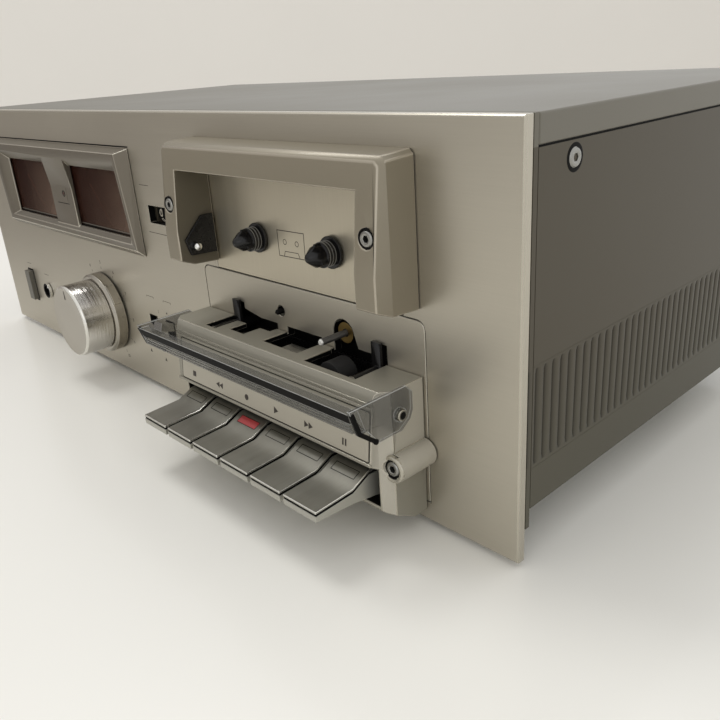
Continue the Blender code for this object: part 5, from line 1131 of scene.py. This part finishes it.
LEAN = leaning(HOUSING_FRONT, LEAN_FOOT, LEAN_RUN, LEAN_RISE)
MOULDINGS = ((oblong(49.6, 21.2, 168.2, 21.9, 0.1), (-0.4, 0.35)),
             (oblong(49.6, 19.4, 168.2, 20.4, 0.1), (-0.4, 0.28)),
             (oblong(49.6, -0.2, 168.2, 0.9, 0.3), (-0.4, 0.45)))
STRIP_BED, STRIP_BED_LAYER = oblong(53.2, 1.6, 167.0, 18.6, 0.6), (-0.2, 0.12)
STRIP, STRIP_LAYER = oblong(53.2, 1.6, 167.0, 9.6, 0.6), (-0.2, 0.2)
STRIP_GAP, STRIP_GAP_WIDTH, STRIP_GAP_LAYER = oblong(52.8, 1.2, 167.4, 19.0, 0.8), 0.3, (-0.2, 0.05)
MARK_SIZE, MARK_HEIGHT, MARK_LAYER = 1.25, 5.0, (0.0, 0.26)
SQUARE_MARK, DISC, POINTER = oblong(-0.9, -0.9, 0.9, 0.9), 0.95, np.array(((-0.9, -1), (0.9, 0), (-0.9, 1)))
BAR, BAR_SHIFT, POINTER_SHIFT, LONE_POINTER = oblong(-0.28, -1, 0.28, 1), 0.55, 0.95, 1.1
PIN_END = ((0, 0.05), (1.25, 0.05), (1.25, -0.3), (0, -0.3))
BOSS_FACE = -17.0
BOSS_RECESS = ((2.65, -1.2), (3.5, -1.2), (3.5, 0.0), (2.95, -0.15), (2.65, -0.6), (2.65, -1.2))
BOSS_RIM = ((3.5, -1), (3.5, 0.12), (4.2, 0.35), (4.8, 0.1), (5.0, -0.4), (4.9, -1), (3.5, -1))


def make_head_housing(sizes):
    """Head housing with its shelf-front mouldings, label strip, transport marks, pin ends and boss screw."""
    # The walls of the housing's cut-outs and keyway are painted black as painted shade.
    finishes = ("block_moulding", "champagne", "black_gap", "grey_moulding", "block_side_painted_light", "bright_edge")
    # The housing's right side and boss take the lighter copy of its moulding, as painted light.
    dressed("head_housing", finishes, sizes.edge,
            zones=((4, is_block_side), (1, is_insert), (2, is_cut_wall), (3, is_visor_pin)))
    shape = Shape()
    for outline, layer in MOULDINGS:
        shape.slab(outline, LEAN, layer)
    shape.piece("housing_mouldings", "cabinet", SLOT["head_housing"], ("block_moulding", "bright_edge"),
                STRIP_EDGE)
    strip = Shape()
    strip.slab(STRIP_BED, LEAN, STRIP_BED_LAYER)
    strip.slab(STRIP, LEAN, STRIP_LAYER, tint=1)
    strip.line(STRIP_GAP, STRIP_GAP_WIDTH, LEAN, STRIP_GAP_LAYER, closed=True, tint=2)
    strip.piece("label_strip", "cabinet", SLOT["head_housing"],
                ("block_moulding", "label_strip", "black_gap"))
    make_transport_marks()
    pins = Shape()
    left = corners("head_housing")[0][0]
    for plane, outside in ((RIGHT, 2 * VISOR_MIDDLE - left), (LEFT, left)):
        pins.turned(PIN_END, plane.at(outside, *VISOR_PIN[1:]), steps=32)
    pins.piece("visor_pin_ends", "cabinet", SLOT["head_housing"], ("black_gap",))
    plane = FRONT.at(BOSS[0], BOSS_FACE, BOSS[2])
    boss = screw_head(Shape(), plane, radius=2.7, seat=-8, socket=1.35, proud=0.1)
    boss.turned(BOSS_RECESS, plane, tint=1)
    boss.turned(BOSS_RIM, plane, steps=64, tint=2)
    boss.piece("boss_screw_head", "cabinet", SLOT["boss_screw"], ("steel", "black_gap", "bright_edge"),
               replaces=("boss_screw",))


def make_transport_marks():
    """Plain marks over the keys: a square, pairs of pointers, a disc, one pointer and two bars."""
    shape = Shape()

    def mark(name, outline, shift=0.0):
        place = (KEYS[name] + shift * MARK_SIZE, MARK_HEIGHT)
        shape.slab(np.asarray(outline) * MARK_SIZE + place, LEAN, MARK_LAYER)

    mark("stop", SQUARE_MARK)
    for shift in (-POINTER_SHIFT, POINTER_SHIFT):
        mark("rewind", POINTER * (-1, 1), shift)
        mark("forward", POINTER, shift)
    mark("record", ring(DISC, steps=28))
    mark("play", POINTER * LONE_POINTER)
    for shift in (-BAR_SHIFT, BAR_SHIFT):
        mark("pause", BAR, shift)
    shape.piece("transport_marks", "cabinet", SLOT["head_housing"], ("ink",))


# Visor

VISOR_FRONT, VISOR_RUN, VISOR_RISE = -32.0, -3.0, 9.3
VISOR_FACE = leaning(VISOR_FRONT, VISOR_PIN[2], VISOR_RUN, VISOR_RISE)
VISOR_BAND, VISOR_BAND_LAYER = oblong(45.4, 4.9, 172.4, 8.1, 0.2), (-0.05, 0.12)
VISOR_TRIM, TRIM_WIDTH, TRIM_LAYER = np.array(((-34.0, 57.4), (-31.4, 50.0), (-24.6, 44.6))), 1.5, (-0.5, 0.3)
TRIM_END = ((0, 0.35), (0.9, 0.3), (1.0, 0), (1.0, -0.5), (0, -0.5))
VISOR_RIBS, VISOR_RIB_LAYER = (0.5, 2.0, 3.5), (-0.05, 0.3)
VISOR_RIB = oblong(46.0, 0, 171.8, 0.7, 0.15)


def make_visor():
    """Smoked visor with its black top band, the black trims at its sides and its ribbed face."""
    dressed("visor", ("smoked", "smoked_edge"), PLATE_EDGE)
    low, high = corners("visor")
    shape = Shape().slab(VISOR_BAND, VISOR_FACE, VISOR_BAND_LAYER)
    for plane, outside in ((RIGHT, high[0]), (LEFT, low[0])):
        shape.line(VISOR_TRIM * (plane.out[0], 1), TRIM_WIDTH, plane.at(outside, 0, 0), TRIM_LAYER)
        shape.turned(TRIM_END, plane.at(outside, *VISOR_TRIM[-1]), steps=24)
    shape.piece("visor_band", "visor", SLOT["visor"], ("black_gap",))
    ribs = Shape()
    for height in VISOR_RIBS:
        ribs.slab(VISOR_RIB + (0, height), VISOR_FACE, VISOR_RIB_LAYER)
    ribs.piece("visor_ribs", "visor", SLOT["visor"], ("smoked_rib",))


# Transport keys

KEY_OUTLINE = np.array(((-43.7, 19.9), (-43.7, 23.8), (-27.2, 24.6), (-19.6, 28.2), (2, 28.2), (2, 17),
                        (-15.3, 17), (-27.2, 18.9)))
KEY_PLATE = np.concatenate((KEY_OUTLINE[1:4], ((-8, 28.2),)))
KEY_HALF, PLATE_THICK, JOINT_TOP, JOINT_LOW, BODY_TOP = 8.35, 0.9, 0.7, 1.9, 1.75
JOINT_SET_IN, JOINT_SET_BACK = 0.2, 0.25
KEY_FRAME, KEY_FRAME_WIDTH, KEY_FRAME_LAYER = oblong(-5.7, 3.1, 5.7, 6.5, 0.1), 0.22, (-0.2, 0.05)
RECORD_INLAY, RECORD_INLAY_LAYER = oblong(-5.6, 3.2, 5.6, 6.4, 0.1), (-0.2, 0.04)


def make_keys(sizes):
    """Piano keys: a body, a dark joint and a top plate whose edges are lighter as a painted highlight, each a
    side outline carried across the key, and a frame drawn on the slope; the record key has a red inlay in it."""
    (front, foot), (back, head) = KEY_OUTLINE[2:4]
    slope = leaning(front, foot, back - front, head - foot)
    across_key = (-KEY_HALF, KEY_HALF)
    joint = np.concatenate((KEY_PLATE - (0, JOINT_TOP), (KEY_PLATE - (0, JOINT_LOW))[::-1]))
    joint[[0, -1], 0] += JOINT_SET_BACK
    body_outline = np.concatenate((KEY_OUTLINE[:1], KEY_PLATE - (0, BODY_TOP), KEY_OUTLINE[5:]))
    plate_outline = np.concatenate((KEY_PLATE, (KEY_PLATE - (0, PLATE_THICK))[::-1]))
    for name, middle in KEYS.items():
        node = f"key_{name}"
        side = RIGHT.at(middle, 0, 0)
        body = Shape().slab(body_outline, side, across_key)
        body.slab(joint, side, (-KEY_HALF + JOINT_SET_IN, KEY_HALF - JOINT_SET_IN), tint=1)
        body.piece(f"{node}_body", BODY[node], SLOT[node], ("key_body", "black_gap"), SMALL_EDGE,
                   replaces=(node,))
        plate = Shape().slab(plate_outline, side, across_key)
        plate.piece(f"{node}_plate", BODY[node], SLOT[node], ("key_metal", "key_edge"), sizes.edge)
        face = slope.at(middle, front, foot)
        drawn = Shape()
        if name == "record":
            drawn.slab(RECORD_INLAY, face, RECORD_INLAY_LAYER, tint=1)
        drawn.line(KEY_FRAME, KEY_FRAME_WIDTH, face, KEY_FRAME_LAYER, closed=True)
        drawn.piece(f"{node}_frame", BODY[node], SLOT[node], ("black_gap", "record_red"))


# Heads, drive and electronics

SHAFT_REACH, SHAFT_BACK, BEARING_REACH, BEARING_BACK = 1.4, 4.0, 4.1, 3
ROD_ENDS, ROD_END_FACE, ROD_END_UP = (69.1, 151.9), -14.2, 54.6
ROD_CAP = ((2.5, -0.8), (2.0, -0.8), (0, -0.8))
CAP_REACH, CAP_CROWN = 2.5, 1.6
HEAD_SCREWS, HEAD_SCREW_FACE, HEAD_SCREW_UP = (104.2, 123.6), -9.6, 46.6


def make_mechanism(sizes):
    """Heads, pinch roller, capstan in its brass bearing, and what stands behind them."""
    for node, finish in (("head_carriage", "black_moulding"), ("record_head", "steel"),
                         ("erase_head", "black_moulding"), ("pinch_arm", "black_moulding")):
        dressed(node, (finish,), sizes.fine_edge)
    dressed("pinch_roller", ("rubber",), sizes.edge)
    capstan = PIVOT["capstan_spin"]
    dressed("capstan_flywheel", ("iron", "ground_steel"), THIN_EDGE,
            zones=((1, near_axis(capstan, SHAFT_REACH, SHAFT_BACK)),))
    make_carriage_fittings()
    dressed("mechanism_plate", ("black_gap", "brass"), sizes.fine_edge,
            zones=((1, near_axis(capstan, BEARING_REACH, BEARING_BACK)),))
    clad("steel", "motor", "key_shaft")
    clad("brass", "motor_pulley")
    clad("rubber", "drive_belt")
    clad("iron", "transformer")
    clad("board_lacquer", "circuit_board")


def make_carriage_fittings():
    """The caps on the carriage's rods, each a quarter of an ellipse and a skirt, turned, and the screws that
    hold the head."""
    crown = arc(1, math.pi / 2, -math.pi / 2, 8) * (CAP_REACH, CAP_CROWN)
    ends = Shape()
    for across in ROD_ENDS:
        ends.turned(np.concatenate((crown, ROD_CAP)), FRONT.at(across, ROD_END_FACE, ROD_END_UP),
                    steps=32)
    ends.piece("carriage_rod_ends", "carriage", "steel", ("steel",))
    screws = Shape()
    for across in HEAD_SCREWS:
        plane = FRONT.at(across, HEAD_SCREW_FACE, HEAD_SCREW_UP)
        screw_head(screws, plane, radius=1.6, seat=-1.5, socket=0.7, proud=0.4)
    screws.piece("head_screws", "carriage", "steel", ("steel", "black_gap"))


# Stage, in metres

CAMERA_PLACE = (0.32323, -0.24922, 0.15673)
CAMERA_TURN = (67.598, 3.754, 46.2477)
CAMERA_LENS, SENSOR_WIDTH = 37.197, 36
TABLE_RADIUS, STAGE_STEPS = 1.5, 96
WALL_PROFILE = ((1.45, 0.0), (1.46, 0.4), (1.46, 1.2), (1.40, 2.4))
LAMPS = (("overhead", (-0.42, -0.10, 1.15), (2, -20, 0), 0.42, 3.8),
         ("front_right", (0.75, -1.1, 0.5), (68, 0, 30), 0.6, 0.5))
SKY = ((0.0, 0.66), (0.48, 0.94), (0.56, 1.0), (0.75, 0.95), (1.0, 0.90))
SKY_TONE, CORNER_TONE = (1.07, 1.07, 1.07), (0.12, 0.085, 0.06)


def make_stage(colours):
    """Table, wall, lamps, world and camera."""
    make_table(colours.table)
    make_wall(colours.wall)
    for name, place, turn, size, power in LAMPS:
        lamp = bpy.data.lights.new(name, "AREA")
        lamp.shape, lamp.size, lamp.energy = "DISK", size, power
        put(name, lamp, place, turn)
    make_world()
    view = bpy.data.cameras.new("photo_camera")
    view.sensor_width, view.lens = SENSOR_WIDTH, CAMERA_LENS
    bpy.context.scene.camera = put("photo_camera", view, CAMERA_PLACE, CAMERA_TURN)
    bpy.context.scene.view_settings.view_transform = "Standard"


def put(name, data, place=(0, 0, 0), turn=(0, 0, 0)):
    """An object at a place in metres, turned by degrees."""
    holder = bpy.data.objects.new(name, data)
    holder.location = place
    holder.rotation_euler = [math.radians(angle) for angle in turn]
    bpy.context.scene.collection.objects.link(holder)
    return holder


def stand(name, points, faces):
    """A stage object made from points in metres, in the finish of its own name."""
    mesh = bpy.data.meshes.new(name)
    mesh.from_pydata(points.tolist(), [], faces)
    mesh.polygons.foreach_set("use_smooth", np.ones(len(mesh.polygons), bool))
    mesh.materials.append(FINISHES[name])
    holder = put(name, mesh)
    return holder


def make_table(tone):
    """A round table top: a fan about its middle. Outside the camera's view, to the front left, where the
    faceplate mirrors it, it is painted darker, as painted shade of a dim room."""
    table = Finish("table_top")
    stain = table.noise(3, 5)
    across, into, _ = table.split(table.place())
    # Painted shade, darker towards the front left.
    dim = (into / -0.1).held() * ((across + 0.1) / -0.4).held() * 0.75
    top = table.mixed(dim, tone, paint(70, 56, 46))
    table.surface(Base_Color=table.shaded(top, 0.97 + stain * 0.06), Roughness=0.30, Coat_Weight=0.25,
                  Coat_Roughness=0.08)
    edge = np.c_[ring(TABLE_RADIUS, steps=STAGE_STEPS), np.zeros(STAGE_STEPS)]
    step = np.arange(STAGE_STEPS)
    fan = np.stack((np.zeros(STAGE_STEPS, int), step + 1, (step + 1) % STAGE_STEPS + 1), -1)
    stand("table_top", np.concatenate((np.zeros((1, 3)), edge)), fan.tolist())


def make_wall(tone):
    """A wall round the table: a profile turned about the middle, facing inwards. Only the camera sees it."""
    wall = Finish("wall_paint")
    mottle = wall.noise(5, 4)
    wall.surface(Base_Color=wall.shaded(tone, 0.98 + mottle * 0.04), Roughness=0.8)
    rows = [np.c_[ring(reach, steps=STAGE_STEPS), np.full(STAGE_STEPS, up)] for reach, up in WALL_PROFILE]
    holder = stand("wall_paint", np.concatenate(rows), skin(len(rows), STAGE_STEPS)[:, ::-1].tolist())
    holder.visible_diffuse = holder.visible_glossy = holder.visible_shadow = False


def make_world():
    """A pale room, brighter above, darker and browner towards its left and its front left corner."""
    world = bpy.data.worlds.new("room")
    world.use_nodes = True
    bpy.context.scene.world = world
    room = Graph(world.node_tree)
    across, into, up = room.split(room.node("ShaderNodeTexCoord", {}, {}, "Generated"))
    ramp = room.node("ShaderNodeValToRGB", {"stops": SKY}, {0: up * 0.5 + 0.5})
    corner = ((across + into) * -0.7).held() * (1.15 - abs(up)).held()
    left = (across * -1).held()
    dim = (corner * 0.45 + left * left * left * 0.50).held()
    tint = room.mixed(dim, SKY_TONE, CORNER_TONE)
    shade = room.shaded(tint, ramp * (1.06 - across * 0.08))
    room.feed(world.node_tree.nodes["Background"].inputs["Color"], shade)


# Add-on

class DECK_OT_finishes(bpy.types.Operator):
    """Make the finishes of the deck"""
    bl_idname = "deck.finishes"
    bl_label = "Finishes"

    def execute(self, context):
        make_finishes(context.scene.deck_colours, context.scene.deck_sizes)
        return {"FINISHED"}


class DECK_OT_cabinet(bpy.types.Operator):
    """Make the faceplate, cover, ribbed sides, back and feet"""
    bl_idname = "deck.cabinet"
    bl_label = "Cabinet"

    def execute(self, context):
        make_cabinet(context.scene.deck_sizes)
        return {"FINISHED"}


class DECK_OT_meters(bpy.types.Operator):
    """Make the level meters"""
    bl_idname = "deck.meters"
    bl_label = "Level Meters"

    def execute(self, context):
        make_meters(context.scene.deck_sizes)
        return {"FINISHED"}


class DECK_OT_level_controls(bpy.types.Operator):
    """Make the level knob, lever switches, power button and phone jack"""
    bl_idname = "deck.level_controls"
    bl_label = "Level Controls"

    def execute(self, context):
        make_level_controls(context.scene.deck_sizes)
        return {"FINISHED"}


class DECK_OT_counter(bpy.types.Operator):
    """Make the tape counter"""
    bl_idname = "deck.counter"
    bl_label = "Tape Counter"

    def execute(self, context):
        make_counter(context.scene.deck_sizes)
        return {"FINISHED"}


class DECK_OT_cassette_bay(bpy.types.Operator):
    """Make the hood, spindle plate and spindles"""
    bl_idname = "deck.cassette_bay"
    bl_label = "Cassette Bay"

    def execute(self, context):
        make_cassette_bay(context.scene.deck_sizes)
        return {"FINISHED"}


class DECK_OT_head_housing(bpy.types.Operator):
    """Make the head housing with its label strip"""
    bl_idname = "deck.head_housing"
    bl_label = "Head Housing"

    def execute(self, context):
        make_head_housing(context.scene.deck_sizes)
        return {"FINISHED"}


class DECK_OT_visor(bpy.types.Operator):
    """Make the smoked visor"""
    bl_idname = "deck.visor"
    bl_label = "Visor"

    def execute(self, context):
        make_visor()
        return {"FINISHED"}


class DECK_OT_keys(bpy.types.Operator):
    """Make the six transport keys"""
    bl_idname = "deck.keys"
    bl_label = "Transport Keys"

    def execute(self, context):
        make_keys(context.scene.deck_sizes)
        return {"FINISHED"}


class DECK_OT_mechanism(bpy.types.Operator):
    """Make the heads, pinch roller, capstan, drive and electronics"""
    bl_idname = "deck.mechanism"
    bl_label = "Mechanism"

    def execute(self, context):
        make_mechanism(context.scene.deck_sizes)
        return {"FINISHED"}


class DECK_OT_stage(bpy.types.Operator):
    """Make the table, wall, lamps and camera"""
    bl_idname = "deck.stage"
    bl_label = "Stage"

    def execute(self, context):
        make_stage(context.scene.deck_colours)
        return {"FINISHED"}


STEPS = (DECK_OT_finishes, DECK_OT_cabinet, DECK_OT_meters, DECK_OT_level_controls, DECK_OT_counter,
         DECK_OT_cassette_bay, DECK_OT_head_housing, DECK_OT_visor, DECK_OT_keys, DECK_OT_mechanism,
         DECK_OT_stage)


class DECK_PT_sidebar(bpy.types.Panel):
    """Sizes, colours and steps of the deck"""
    bl_label = "Cassette Deck"
    bl_idname = "DECK_PT_sidebar"
    bl_space_type = "VIEW_3D"
    bl_region_type = "UI"
    bl_category = "Deck"

    def draw(self, context):
        for group in (context.scene.deck_sizes, context.scene.deck_colours):
            box = self.layout.box()
            for name in group.__annotations__:
                box.prop(group, name)
        for step in STEPS:
            self.layout.operator(step.bl_idname)


CLASSES = (DeckSizes, DeckColours, *STEPS, DECK_PT_sidebar)


def register():
    """Registers the classes and hangs the settings on the scene."""
    for kind in CLASSES:
        bpy.utils.register_class(kind)
    bpy.types.Scene.deck_sizes = PointerProperty(type=DeckSizes)
    bpy.types.Scene.deck_colours = PointerProperty(type=DeckColours)


def unregister():
    """Takes the settings and classes away again."""
    del bpy.types.Scene.deck_colours
    del bpy.types.Scene.deck_sizes
    for kind in reversed(CLASSES):
        bpy.utils.unregister_class(kind)


def main():
    """Runs every step in order."""
    register()
    for step in STEPS:
        group, name = step.bl_idname.split(".")
        getattr(getattr(bpy.ops, group), name)()


if __name__ == "__main__":
    main()
